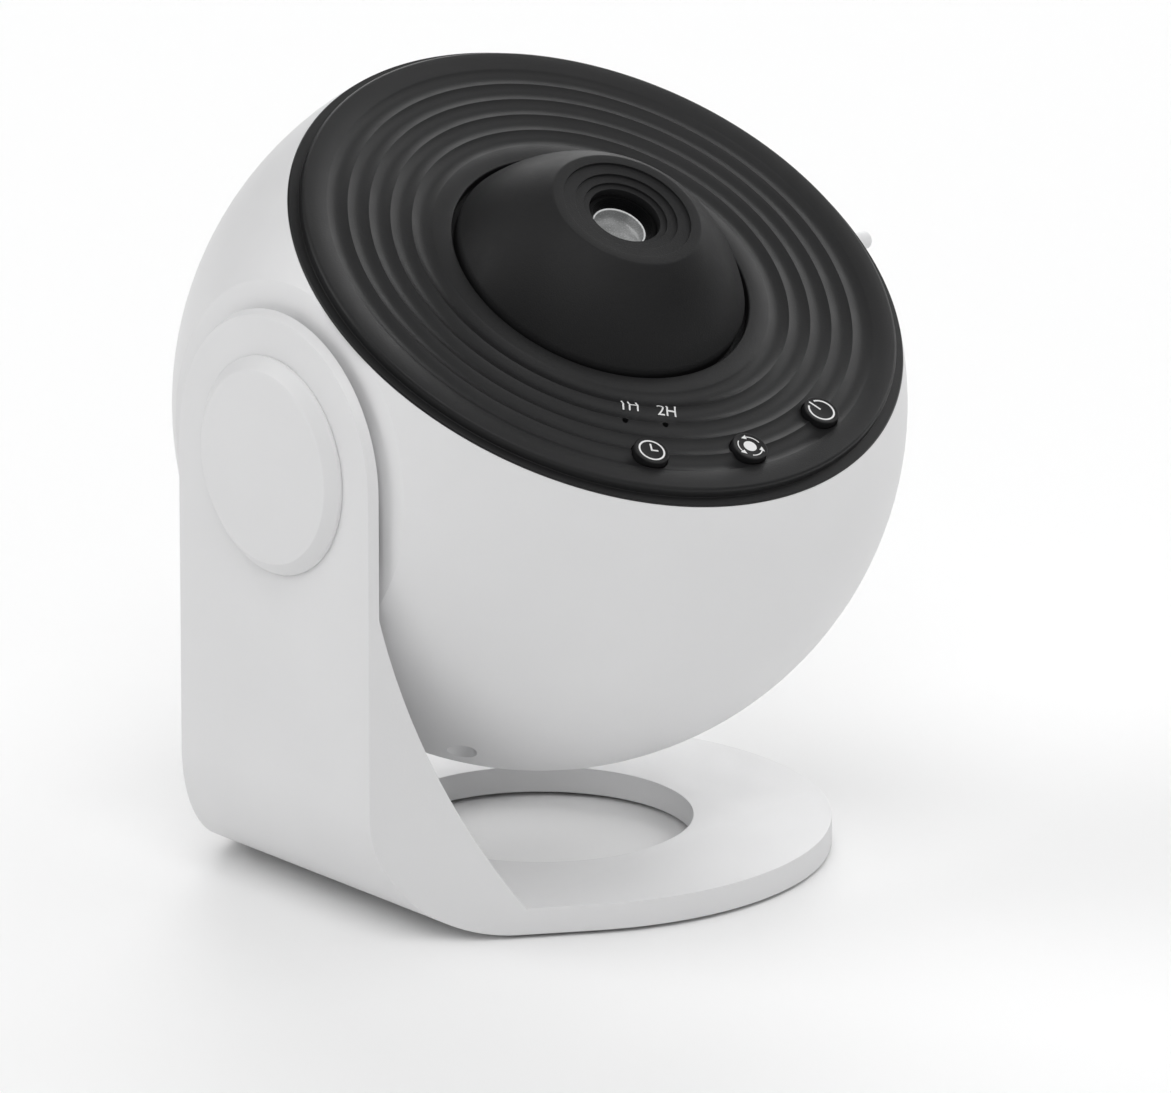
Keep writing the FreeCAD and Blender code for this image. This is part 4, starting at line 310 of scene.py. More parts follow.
def lathe(outline, segments=192):
    """A closed mesh from a closed outline of (radius, height), turned about Z."""
    mesh = bmesh.new()
    rings = []
    for radius, level in outline:
        if radius < 1e-6:
            rings.append([mesh.verts.new((0, 0, level * MM))] * segments)
            continue
        ring = []
        for k in range(segments):
            turn = 2 * math.pi * k / segments
            ring.append(mesh.verts.new((radius * MM * math.cos(turn), radius * MM * math.sin(turn),
                                        level * MM)))
        rings.append(ring)
    for i, ring in enumerate(rings):
        above = rings[(i + 1) % len(rings)]
        for k in range(segments):
            m = (k + 1) % segments
            corners = []
            for vert in (ring[k], ring[m], above[m], above[k]):
                if vert not in corners:
                    corners.append(vert)
            if len(corners) > 2:
                mesh.faces.new(corners)
    return mesh


def prism(outline, low, high):
    """A closed mesh from a flat outline, between two levels."""
    mesh = bmesh.new()
    face = mesh.faces.new([mesh.verts.new((x * MM, y * MM, low * MM)) for x, y in outline])
    top = bmesh.ops.extrude_face_region(mesh, geom=[face])
    lifted = [v for v in top["geom"] if isinstance(v, bmesh.types.BMVert)]
    bmesh.ops.translate(mesh, verts=lifted, vec=(0, 0, (high - low) * MM))
    return mesh


def disc(radius, x=0.0, y=0.0, steps=48):
    """Points of a circle."""
    turns = [2 * math.pi * k / steps for k in range(steps)]
    return [(x + radius * math.cos(turn), y + radius * math.sin(turn)) for turn in turns]


def as_object(name, mesh, matrix=None, turn_out=True):
    """An object at the origin from a bmesh, with its place in its mesh."""
    if turn_out:
        bmesh.ops.recalc_face_normals(mesh, faces=mesh.faces)
    data = bpy.data.meshes.new(name)
    mesh.to_mesh(data)
    mesh.free()
    if matrix is not None:
        data.transform(matrix)
    obj = bpy.data.objects.new(name, data)
    bpy.context.scene.collection.objects.link(obj)
    return obj


def settle(obj):
    """Replace an object's mesh by its evaluated mesh, and take its modifiers off."""
    graph = bpy.context.evaluated_depsgraph_get()
    graph.update()
    result = bpy.data.meshes.new_from_object(obj.evaluated_get(graph), depsgraph=graph)
    obj.modifiers.clear()
    obj.data = result
    return obj


def joined(obj, others, operation):
    """Cut others out of an object, or unite them with it."""
    for other in others:
        step = obj.modifiers.new("joined", "BOOLEAN")
        step.operation = operation
        step.solver = "EXACT"
        step.object = other
    settle(obj)
    for other in others:
        bpy.data.objects.remove(other)
    return obj


def smooth(obj, degrees):
    """Smooth shading with sharp edges over an angle."""
    data = obj.data
    data.polygons.foreach_set("use_smooth", [True] * len(data.polygons))
    data.set_sharp_from_angle(angle=math.radians(degrees))
    data.update()


def dress(obj, material, body, nodes=(), degrees=30):
    """Finish a piece: its shading, its material, its body and the nodes it stands for."""
    if degrees:
        smooth(obj, degrees)
    obj.data.materials.clear()
    obj.data.materials.append(material)
    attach(obj, body)
    if nodes:
        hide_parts(*nodes)


def merged_copy(node, name, width, degrees=32, segments=2):
    """A copy of a CAD node with its flat faces joined and its sharp edges broken."""
    mesh = bmesh.new()
    mesh.from_mesh(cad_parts[node].data)
    bmesh.ops.remove_doubles(mesh, verts=mesh.verts, dist=2e-6)
    bmesh.ops.dissolve_limit(mesh, angle_limit=math.radians(0.4), verts=mesh.verts, edges=mesh.edges)
    obj = as_object(name, mesh, turn_out=False)
    edge = obj.modifiers.new("broken_edges", "BEVEL")
    edge.width = width * MM
    edge.segments = segments
    edge.limit_method = "ANGLE"
    edge.angle_limit = math.radians(degrees)
    edge.use_clamp_overlap = True
    return settle(obj)


# Geometry node trees, in millimetres


def form_tree(name, sizes):
    """A geometry node tree with a geometry, named sizes and a material as its inputs."""
    group = bpy.data.node_groups.new(name, "GeometryNodeTree")
    face = group.interface
    face.new_socket("Geometry", in_out="OUTPUT", socket_type="NodeSocketGeometry")
    face.new_socket("Geometry", in_out="INPUT", socket_type="NodeSocketGeometry")
    kinds = {float: "NodeSocketFloat", int: "NodeSocketInt", tuple: "NodeSocketVector"}
    for label, value in sizes.items():
        socket = face.new_socket(label, in_out="INPUT", socket_type=kinds[type(value)])
        socket.default_value = value
    face.new_socket("Material", in_out="INPUT", socket_type="NodeSocketMaterial")
    tree = Tree(group)
    given = group.nodes.new("NodeGroupInput").outputs
    return tree, given


def end_tree(tree, given, geometry):
    """Make the result real, give it its material and hand it out."""
    real = tree.add("GeometryNodeRealizeInstances", {"Geometry": geometry})
    dressed_form = tree.add("GeometryNodeSetMaterial", {"Geometry": real.outputs[0],
                                                       "Material": given["Material"]})
    tree.add("NodeGroupOutput", {"Geometry": dressed_form.outputs[0]})
    return tree.tree


def grow(obj, group, material, sizes):
    """Run a tree on an object with its sizes, and keep the plain mesh that comes out."""
    step = obj.modifiers.new("grown", "NODES")
    step.node_group = group
    sockets = {item.name: item.identifier for item in group.interface.items_tree
               if item.in_out == "INPUT"}
    for label, value in sizes.items():
        step[sockets[label]] = value
    step[sockets["Material"]] = material
    settle(obj)


RIPPLES = {"Inner Radius": RIPPLE_START, "Ring Width": RIPPLE_STEP, "Ring Count": RIPPLE_COUNT,
           "Depth": RIPPLE_DEPTH, "Level": COVER_TOP}


def ripple_tree():
    """Round hollows, ring beside ring, pressed into the flat top of a turned piece."""
    tree, given = form_tree("ripple_rings", RIPPLES)
    place = tree.add("ShaderNodeSeparateXYZ", {0: tree.add("GeometryNodeInputPosition").outputs[0]})
    x, y, z = place.outputs
    reach = tree.math("SQRT", tree.total(tree.math("MULTIPLY", x, x), tree.math("MULTIPLY", y, y)))
    share = tree.math("DIVIDE", tree.math("SUBTRACT", reach, given["Inner Radius"]), given["Ring Width"])
    across = tree.math("SUBTRACT", tree.math("MULTIPLY", tree.math("FRACT", share), 2.0), 1.0)
    hollow = tree.math("SUBTRACT", 1.0, tree.math("MULTIPLY", across, across))
    inside = tree.math("MULTIPLY", tree.math("GREATER_THAN", share, 0.0),
                       tree.math("LESS_THAN", share, given["Ring Count"]))
    height = tree.math("ABSOLUTE", tree.math("SUBTRACT", z, given["Level"]))
    inside = tree.math("MULTIPLY", inside, tree.math("LESS_THAN", height, 0.01))
    fall = tree.math("MULTIPLY", tree.math("MULTIPLY", hollow, given["Depth"]), inside)
    drop = tree.add("ShaderNodeCombineXYZ", {"Z": tree.less(fall)})
    pressed = tree.add("GeometryNodeSetPosition", {"Geometry": given["Geometry"],
                                                   "Offset": drop.outputs[0]})
    return end_tree(tree, given, pressed.outputs[0])


SMALL = {"Head Radius": 1.8, "Head Height": 1.2, "Shank Radius": 0.9, "Pitch": 0.6, "Thread Depth": 0.12,
         "Edge": 0.2, "Recess Length": 2.2, "Recess Width": 0.5, "Recess Depth": 0.65}
LARGE = {"Head Radius": 2.3, "Head Height": 1.8, "Shank Radius": 1.25, "Pitch": 0.8, "Thread Depth": 0.16,
         "Edge": 0.3, "Recess Length": 2.9, "Recess Width": 0.65, "Recess Depth": 1.1}
SHALLOW = dict(SMALL, **{"Head Height": 0.95, "Recess Depth": 0.5})
UP, DOWN = (math.pi, 0.0, 0.0), (0.0, 0.0, 0.0)
OUTWARD, INWARD = (0.0, math.pi / 2, 0.0), (0.0, -math.pi / 2, 0.0)
ROWS_PER_TURN = 6


def screw_tree():
    """A machine screw with a helical thread and a cross recess, on each point of a mesh.

    A grid becomes the turned form, row by row: the head's top, its edge, side and underside up to
    row 4, then the shank with its thread, and one row each for the point's slope and its end.
    """
    tree, given = form_tree("screw_set", dict(SMALL, **{"Length": 6.0, "Thread Rows": 60, "Turn": DOWN,
                                                        "Seed": 0}))
    rows = tree.total(given["Thread Rows"], 6.0)
    around = 32
    grid = tree.add("GeometryNodeMeshGrid", {"Size X": rows, "Size Y": 1.0, "Vertices Y": around + 1,
                                             "Vertices X": tree.total(rows, 1.0)})
    place = tree.add("ShaderNodeSeparateXYZ", {0: tree.add("GeometryNodeInputPosition").outputs[0]})
    row = tree.math("ADD", place.outputs[0], tree.math("DIVIDE", rows, 2.0))
    turn = tree.math("MULTIPLY", tree.math("ADD", place.outputs[1], 0.5), 2 * math.pi)
    head, shank, edge = given["Head Radius"], given["Shank Radius"], given["Edge"]
    last = tree.total(given["Thread Rows"], 4.0)
    tip = tree.math("ADD", last, 1.0)
    radius = tree.total(
        tree.ramp(row, 0.0, 1.0, tree.math("SUBTRACT", head, edge)), tree.ramp(row, 1.0, 2.0, edge),
        tree.ramp(row, 3.0, 4.0, tree.math("SUBTRACT", shank, head)),
        tree.ramp(row, last, tip, tree.math("MULTIPLY", shank, -0.4)),
        tree.ramp(row, tip, tree.math("ADD", tip, 1.0), tree.math("MULTIPLY", shank, -0.6)))
    level = tree.total(
        given["Head Height"], tree.ramp(row, 1.0, 2.0, tree.less(edge)),
        tree.ramp(row, 2.0, 3.0, tree.math("SUBTRACT", edge, given["Head Height"])),
        tree.ramp(row, 4.0, last, tree.math("SUBTRACT", edge, given["Length"])),
        tree.ramp(row, last, tip, tree.less(edge)))
    wound = tree.math("MULTIPLY", tree.math("DIVIDE", level, given["Pitch"]), 2 * math.pi)
    wave = tree.math("COSINE", tree.math("ADD", wound, turn))
    groove = tree.math("MULTIPLY", tree.math("SUBTRACT", 1.0, wave), 0.5)
    run_out = tree.ramp(row, tree.math("SUBTRACT", last, 1.0), last, 1.0)
    window = tree.math("MULTIPLY", tree.ramp(row, 4.0, 6.0, 1.0), tree.math("SUBTRACT", 1.0, run_out))
    groove = tree.math("MULTIPLY", tree.math("MULTIPLY", groove, window), given["Thread Depth"])
    radius = tree.math("SUBTRACT", radius, groove)
    spot = tree.add("ShaderNodeCombineXYZ", {
        "X": tree.math("MULTIPLY", radius, tree.math("COSINE", turn)),
        "Y": tree.math("MULTIPLY", radius, tree.math("SINE", turn)), "Z": level})
    shaped = tree.add("GeometryNodeSetPosition", {"Geometry": grid.outputs[0],
                                                  "Position": spot.outputs[0]})
    whole = tree.add("GeometryNodeMergeByDistance", {"Geometry": shaped.outputs[0], "Distance": 0.0005})
    recess = tree.add("GeometryNodeMeshBoolean", {"Mesh 1": whole.outputs[0]}, operation="DIFFERENCE")
    top = tree.add("ShaderNodeCombineXYZ", {"Z": given["Head Height"]})
    for spin in (0.0, math.pi / 2):
        size = tree.add("ShaderNodeCombineXYZ", {
            "X": given["Recess Length"], "Y": given["Recess Width"],
            "Z": tree.math("MULTIPLY", given["Recess Depth"], 2.0)})
        bar_form = tree.add("GeometryNodeMeshCube", {"Size": size.outputs[0]})
        moved = tree.add("GeometryNodeTransform", {
            "Geometry": bar_form.outputs[0], "Translation": top.outputs[0], "Rotation": (0, 0, spin)})
        tree.tree.links.new(moved.outputs[0], recess.inputs["Mesh 2"])
    sets = tree.add("GeometryNodeInstanceOnPoints", {
        "Points": given["Geometry"], "Instance": recess.outputs[0], "Rotation": given["Turn"]})
    chance = tree.add("FunctionNodeRandomValue", {"Seed": given["Seed"]}, data_type="FLOAT")
    for socket, value in zip([s for s in chance.inputs if s.type == "VALUE"], (0.0, 2 * math.pi)):
        socket.default_value = value
    spin = tree.add("ShaderNodeCombineXYZ", {"Z": chance.outputs[1]})
    turned_sets = tree.add("GeometryNodeRotateInstances", {"Instances": sets.outputs[0],
                                                           "Rotation": spin.outputs[0]})
    return end_tree(tree, given, turned_sets.outputs[0])


def circle_spots(ring, *degrees):
    """Places on a circle, with angles from the first axis."""
    return [(ring * math.cos(math.radians(a)), ring * math.sin(math.radians(a))) for a in degrees]


def screw_spots():
    """Each group of screws: its kind, shank length, direction and seat places."""
    base = [(30.19 * sx, 30.19 * sy, 1.75 - 88.2) for sx, sy in FOUR_CORNERS]
    return {
        "base_screws": (SHALLOW, 2.7, UP, base),
        "shell_screws": (LARGE, 14.0, UP, [(x, y, -35.0) for x, y in SHELL_SCREWS]),
        "chassis_screws": (LARGE, 14.8, UP, [(x, y, 18.0) for x, y in CHASSIS_SCREWS]),
        "motor_screws": (SMALL, 2.0, UP, [(-30.1, 12.2 * sy, 16.95) for sy in (1, -1)]),
        "lamp_screws": (SMALL, 2.6, UP, [(x, y, 16.35) for x, y in circle_spots(20.5, 0, 120, 240)]),
        "sink_screws": (SMALL, 6.95, UP, [(0.0, 19.2 * sy, -14.0) for sy in (1, -1)]),
        "board_screws": (SMALL, 3.6, DOWN, [(x, y, -40.0) for x in (18.0, -18.0) for y in (13.0, 42.0)]),
        "button_board_screws": (SMALL, 3.2, UP, [(x, y, 27.7) for x, y in
                                                 circle_spots(*BUTTON_BOARD_SCREWS)]),
        "hub_screws": (SMALL, 6.0, OUTWARD, [(-50.6, y, z) for y, z in
                                             circle_spots(11.0, 60, 180, 300)]),
        "retaining_screws": (SMALL, 5.2, INWARD, [(-63.2, y, z) for y, z in
                                                  circle_spots(5.4, 0, 120, 240)]),
    }


def make_screws():
    """Every screw, in one piece for each group, with its cross recess turned by chance."""
    group = screw_tree()
    for number, (name, (kind, length, turn, spots)) in enumerate(screw_spots().items()):
        mesh = bmesh.new()
        for spot in spots:
            mesh.verts.new(spot)
        obj = as_object(name + "_set", mesh)
        sizes = dict(kind, Length=length, Turn=turn, Seed=number)
        sizes["Thread Rows"] = int(length / kind["Pitch"] * ROWS_PER_TURN)
        grow(obj, group, SCREW_STEEL, sizes)
        body, place = ("stand", STAND) if name == "base_screws" else ("head", HEAD)
        obj.data.transform(place @ Matrix.Scale(MM, 4))
        dress(obj, SCREW_STEEL, body, [name], 35)


# Face cover


def polar(ring, degrees):
    """X and Y of a spot on a circle, with the angle measured from the front (-Y)."""
    turn = math.radians(degrees)
    return ring * math.sin(turn), -ring * math.cos(turn)


def make_face_cover():
    """The face cover: its rippled shell and posts, with holes for the buttons and lamps."""
    steps = 14
    ripples = [(RIPPLE_START + RIPPLE_STEP * k / steps, COVER_TOP)
               for k in range(RIPPLE_COUNT * steps + 1)]
    outline = [(29.6, COVER_UNDER, 0.2), (29.6, COVER_TOP, 0.35)] + ripples + [
        (59.4, COVER_TOP, 0.7), (59.4, 33.8, 0.12), (61.27, 33.8, 0.15), (61.55, 33.3, 0.1),
        (58.6, 33.3), (58.6, 28.5), (56.8, 28.5), (56.8, COVER_UNDER)]
    cover = as_object("face_cover_shell", lathe(rounded(outline), 400), Matrix.Scale(1 / MM, 4))
    grow(cover, ripple_tree(), BLACK, RIPPLES)
    cover.data.transform(HEAD @ Matrix.Scale(MM, 4))
    joined(cover, [cover_posts()], "UNION")
    holes = [disc(BUTTON_RADIUS + 0.2, *polar(BUTTON_RING, turn)) for turn in BUTTON_TURNS.values()]
    holes += [disc(PIN_LAMP_HOLE, *polar(PIN_LAMP_RING, turn), 24) for turn in PIN_LAMP_TURNS]
    joined(cover, [as_object("cut", prism(hole, 30, 40), HEAD) for hole in holes], "DIFFERENCE")
    dress(cover, BLACK, "head", ["face_cover"])


def cover_posts():
    """The face cover's screw posts and bosses, kept inside the ball's wall."""
    top = COVER_UNDER + 0.2
    kinds = [(3.2, -28.9, 1.25, -19.0, SHELL_SCREWS), (3.4, 30.8, 1.25, 33.5, CHASSIS_SCREWS),
             (2.3, 28.9, 0.9, 33.5, circle_spots(*BUTTON_BOARD_SCREWS))]
    posts = []
    for radius, low, bore, bore_top, spots in kinds:
        outline = rounded([(bore, low), (radius, low, 0.3), (radius, top), (0, top), (0, bore_top),
                           (bore, bore_top)])
        for x, y in spots:
            post = lathe(outline, 48)
            bmesh.ops.recalc_face_normals(post, faces=post.faces)
            bmesh.ops.translate(post, verts=post.verts, vec=(x * MM, y * MM, 0))
            posts.append(post)
    whole = bmesh.new()
    side_by_side(whole, posts)
    ball = bmesh.new()
    bmesh.ops.create_uvsphere(ball, u_segments=96, v_segments=64, radius=(BALL_RADIUS - 2.7) * MM)
    return joined(as_object("posts", whole, HEAD, turn_out=False), [as_object("limit", ball, HEAD)],
                  "INTERSECT")


# Focus cone, lens barrel and lenses


def make_cone():
    """The focus cone: its bulging flank, rounded crown, stepped crater, bore and slots."""
    rim, rim_radius, crown_radius, flank_radius = CONE_RIM, 14.55, 1.0, 36.7
    lean = math.radians(32.5)
    start = (rim_radius + crown_radius * math.sin(lean), rim - crown_radius * (1 - math.cos(lean)))
    foot = (28.6, RIM_LEVEL + 3.0)
    half = (Vector(foot) - Vector(start)) / 2
    side = Vector((half.y, -half.x)).normalized() * math.sqrt(flank_radius ** 2 - half.length ** 2)
    centre = Vector(start) + half - side
    if centre.y > foot[1]:
        centre = Vector(start) + half + side
    flank = arc(start, foot, tuple(centre), 28)
    crown = arc((rim_radius, rim), start, (rim_radius, rim - crown_radius), 6)
    inside = [(7.05, 29.9), (9.0, 29.9, 0.2), (9.0, 47.8), (13.6, 47.8), (26.8, 35.4), (26.8, 31.9),
              (31.0, 31.9, 0.2), (31.0, 33.4, 0.2), (28.6, 33.4)]
    crater = [(12.7, rim, 0.05), (12.7, 50.6, 0.05), (10.2, 50.6, 0.05), (10.2, 50.1, 0.05),
              (8.3, 50.1, 0.05), (8.3, 49.6, 0.05), (7.05, 49.6, 0.08)]
    outline = inside + list(reversed(flank)) + list(reversed(crown))[1:] + crater
    cone = as_object("focus_cone_shell", lathe(rounded(outline), 256), HEAD)
    slots = [as_object("cut", slot_cutter(index), HEAD) for index in range(2)]
    joined(cone, slots, "DIFFERENCE")
    dress(cone, CONE_BLACK, "cone", ["focus_cone"])


def slot_cutter(index):
    """The helical slot that a barrel pin runs in, as a closed solid.

    It runs past the pin's last places by half its width, measured round the barrel.
    """
    half, barrel, inner, outer, steps = 1.2, 7.0, 6.0, 10.0, 30
    past_end = GUIDE_LEAD * half / barrel
    low, high = GUIDE_LOW - past_end, GUIDE_HIGH + past_end
    mesh = bmesh.new()
    rings = []
    for k in range(steps + 1):
        travel = low + (high - low) * k / steps
        turn = math.pi * (index + 0.5) - travel / GUIDE_LEAD
        level = GUIDE_LEVEL + travel
        ring = []
        for reach, side in ((inner, -half), (outer, -half), (outer, half), (inner, half)):
            ring.append(mesh.verts.new(Vector((reach * math.cos(turn), reach * math.sin(turn),
                                               level + side)) * MM))
        rings.append(ring)
    for low_ring, high_ring in zip(rings, rings[1:]):
        for k in range(4):
            m = (k + 1) % 4
            mesh.faces.new((low_ring[k], low_ring[m], high_ring[m], high_ring[k]))
    mesh.faces.new(rings[0])
    mesh.faces.new(rings[-1])
    return mesh


def make_barrel():
    """The lens barrel, with fine steps in its mouth and its two guide pins."""
    top, low = 48.2, 32.8
    mouth = []
    for k in range(4):
        drop, reach = 0.36 * k, 6.1 - 0.19 * k
        mouth += [(reach, top - drop), (reach, top - drop - 0.2), (reach - 0.1, top - drop - 0.2)]
    outline = [(6.97, low, 0.2), (6.97, top, 0.15)] + mouth + [
        (5.34, 46.7), (5.34, 44.1), (4.5, 44.1), (4.5, 38.0), (5.84, 38.0), (5.84, low)]
    barrel = as_object("lens_barrel_tube", lathe(rounded(outline), 128), HEAD)
    pins = []
    for side in (1, -1):
        turn = Matrix.Rotation(math.radians(-90 * side), 4, "X")
        pin = lathe(rounded([(0, 0), (1.0, 0), (1.0, 4.2, 0.15), (0, 4.2)]), 32)
        place = HEAD @ Matrix.Translation(Vector((0, side * 6.3, GUIDE_LEVEL)) * MM) @ turn
        pins.append(as_object("pin", pin, place))
    joined(barrel, pins, "UNION")
    dress(barrel, BARREL_BLACK, "barrel", ["lens_barrel"])


def bulged(radius, low, thickness, bulge, steps=14):
    """The outline of a lens with two spherical faces."""
    curve = (radius ** 2 + bulge ** 2) / (2 * bulge)
    high = low + thickness
    points = []
    for k in range(steps + 1):
        r = radius * k / steps
        points.append((r, low + curve - math.sqrt(curve ** 2 - r ** 2)))
    for k in range(steps, -1, -1):
        r = radius * k / steps
        points.append((r, high - curve + math.sqrt(curve ** 2 - r ** 2)))
    return points


def make_lenses():
    """The front lens with its bright edge, and the rear lens."""
    front = as_object("front_lens_glass", lathe(bulged(5.3, 44.14, 2.6, 0.7), 96), HEAD)
    dress(front, FRONT_GLASS_PAINTED_REFLECTION, "barrel", ["front_lens"])
    edge = lathe(rounded([(5.0, 45.9), (5.34, 45.9), (5.34, 46.35, 0.1), (5.0, 46.2, 0.05)]), 96)
    dress(as_object("front_lens_edge", edge, HEAD), LENS_EDGE, "barrel")
    rear = as_object("rear_lens_glass", lathe(bulged(5.8, 35.4, 2.56, 0.7), 96), HEAD)
    dress(rear, LAMP_GLASS, "barrel", ["rear_lens"])


# Buttons, their icons and the legends


def make_buttons():
    """Each button's cap with a flange under the face cover, its plunger pin and its icon."""
    flange, under, top = COVER_UNDER - 0.9, COVER_UNDER - 0.1, COVER_TOP + BUTTON_RISE
    outline = rounded([(0, flange), (4.4, flange, 0.1), (4.4, under, 0.1), (BUTTON_RADIUS, under),
                       (BUTTON_RADIUS, top, 0.4), (3.05, top), (2.95, top - 0.03), (0, top - 0.05)])
    pin_outline = rounded([(0, 30.48), (1.55, 30.48, 0.12), (1.55, 32.8), (0, 32.8)])
    for name, turn in BUTTON_TURNS.items():
        x, y = polar(BUTTON_RING, turn)
        place = HEAD @ Matrix.Translation(Vector((x, y, 0)) * MM)
        cap = as_object(name + "_button_cap", lathe(outline, 96), place)
        dress(cap, BUTTON_BLACK, name, [name + "_button"])
        pin = as_object(name + "_plunger_pin", lathe(pin_outline, 48), place)
        dress(pin, SWITCH_PLASTIC, name, [name + "_plunger"])
        upright = Matrix.Rotation(math.radians(turn), 4, "Z")
        icon = as_object(name + "_icon", icon_mesh(name), place @ upright)
        dress(icon, WHITE_INK, name, degrees=0)


def band(radius, width, start, stop, steps=64):
    """The outline of a part of a ring, between two angles in degrees."""
    inner, outer = [], []
    for k in range(steps + 1):
        turn = math.radians(start + (stop - start) * k / steps)
        inner.append(((radius - width / 2) * math.cos(turn), (radius - width / 2) * math.sin(turn)))
        outer.append(((radius + width / 2) * math.cos(turn), (radius + width / 2) * math.sin(turn)))
    return outer + list(reversed(inner))


def bar(x0, y0, x1, y1, width):
    """The outline of a straight stroke."""
    way = Vector((x1 - x0, y1 - y0)).normalized()
    side = Vector((-way.y, way.x)) * width / 2
    a, b = Vector((x0, y0)), Vector((x1, y1))
    return [tuple(a - side), tuple(b - side), tuple(b + side), tuple(a + side)]


def icon_mesh(name):
    """Thin white strokes of a button's icon: a clock, a turning dot or the power mark."""
    line = 0.36
    outlines = []
    if name == "timer":
        outlines = [band(2.45, line, 0, 179.9), band(2.45, line, 180, 359.9),
                    bar(0, -line / 2, 0, 1.7, line), bar(0, 0, 1.3, 0, line)]
    if name == "power":
        outlines = [band(2.5, line, 112, 428), bar(0, 0.2, 0, 2.85, line)]
    if name == "rotate":
        outlines = [disc(1.3)]
        for middle in (46, 166, 286):
            outlines.append(band(2.4, 0.22, middle - 38, middle + 34, 24))
            outlines.append([circle_spots(reach, middle + ahead)[0]
                             for reach, ahead in ((1.85, 30), (2.95, 30), (2.4, 56))])
    top = COVER_TOP + BUTTON_RISE
    mesh = bmesh.new()
    side_by_side(mesh, [prism(outline, top - 0.1, top - 0.02) for outline in outlines])
    return mesh


def make_legends():
    """The two printed legends over the indicator lamps."""
    for words, x, y in LEGENDS:
        curve = bpy.data.curves.new("legend", "FONT")
        curve.body = words
        curve.size = 3.4 * MM
        curve.extrude = 0.02 * MM
        curve.align_x, curve.align_y = "CENTER", "CENTER"
        text = bpy.data.objects.new("legend", curve)
        bpy.context.scene.collection.objects.link(text)
        graph = bpy.context.evaluated_depsgraph_get()
        data = bpy.data.meshes.new_from_object(text.evaluated_get(graph), depsgraph=graph)
        bpy.data.objects.remove(text)
        mesh = bmesh.new()
        mesh.from_mesh(data)
        drape(mesh, x, y)
        legend = as_object("legend_" + words.lower(), mesh, HEAD, turn_out=False)
        dress(legend, WHITE_INK, "head", degrees=0)


def drape(mesh, x, y):
    """Turn a flat legend to the timer button's direction and lay it on the rippled face."""
    turn = Matrix.Rotation(math.radians(BUTTON_TURNS["timer"]), 4, "Z")
    longest, lift = 0.15, 0.06
    bmesh.ops.triangulate(mesh, faces=mesh.faces)
    for _ in range(5):
        long = [edge for edge in mesh.edges if edge.calc_length() > longest * MM]
        bmesh.ops.subdivide_edges(mesh, edges=long, cuts=1)
        bmesh.ops.triangulate(mesh, faces=mesh.faces)
    for vert in mesh.verts:
        spot = turn @ vert.co + Vector((x, y, 0)) * MM
        radius = math.hypot(spot.x, spot.y) / MM
        share = (radius - RIPPLE_START) / RIPPLE_STEP
        fall = RIPPLE_DEPTH * (1 - (2 * (share % 1) - 1) ** 2) if 0 < share < RIPPLE_COUNT else 0.0
        spot.z += (COVER_TOP - fall + lift) * MM
        vert.co = spot


# Pivot cap and tray knob


def make_cap():
    """The pivot cap on the arm's outside, with a bevelled edge and a ring that sits in the arm."""
    top, rim, under = 67.2, 64.74, 65.8
    outline = rounded([(0, -top), (18.6, -top, 0.5), (21.0, -65.3, 0.6), (21.0, -rim), (18.85, -rim),
                       (18.85, -61.55), (17.35, -61.55), (17.35, -under), (0, -under)])
    turn = Matrix.Rotation(math.radians(90), 4, "Y")
    cap = as_object("pivot_cap_disc", lathe(outline, 192), STAND @ turn)
    dress(cap, CAP_WHITE, "stand", ["pivot_cap"])


def make_knob():
    """The tray's round pull."""
    outline = rounded([(0, 63.42), (1.7, 63.42), (1.7, 70.24, 0.55), (0, 70.24)])
    turn = Matrix.Rotation(math.radians(90), 4, "Y")
    place = HEAD @ Matrix.Translation((0, 0, 26.3 * MM)) @ turn
    knob = as_object("tray_pull_knob", lathe(outline, 64), place)
    dress(knob, WHITE, "tray", ["tray_knob"])


# Shell, stand and tray


def ball_normals(obj):
    """Give the outside of the ball its true normals, so that cuts leave no shading marks."""
    data = obj.data
    arms = [vert.co - BALL_CENTRE for vert in data.vertices]
    on_ball = [abs(arm.length / MM - BALL_RADIUS) < 0.02 for arm in arms]
    normals = [Vector(corner.vector) for corner in data.corner_normals]
    for face in data.polygons:
        if all(on_ball[v] for v in face.vertices):
            for loop in face.loop_indices:
                normals[loop] = arms[data.loops[loop].vertex_index].normalized()
    data.normals_split_custom_set(normals)


def make_shell():
    """The ball's white shell."""
    shell = merged_copy("rear_shell", "ball_shell", 0.35)
    dress(shell, WHITE, "head", ["rear_shell"])
    ball_normals(shell)


def make_stand():
    """The stand: arm, heel and ring-shaped base in one."""
    stand = merged_copy("stand_bracket", "stand_body", 0.6, degrees=24, segments=3)
    dress(stand, STAND_WHITE, "stand", ["stand_bracket"])


def make_tray():
    """The film tray with its door, which is a part of the ball's outside."""
    tray = merged_copy("film_tray", "film_tray_body", 0.25)
    dress(tray, WHITE, "tray", ["film_tray"])
    ball_normals(tray)


# Inner pieces: the CAD form with merged faces and broken edges, with its body and the edges' width

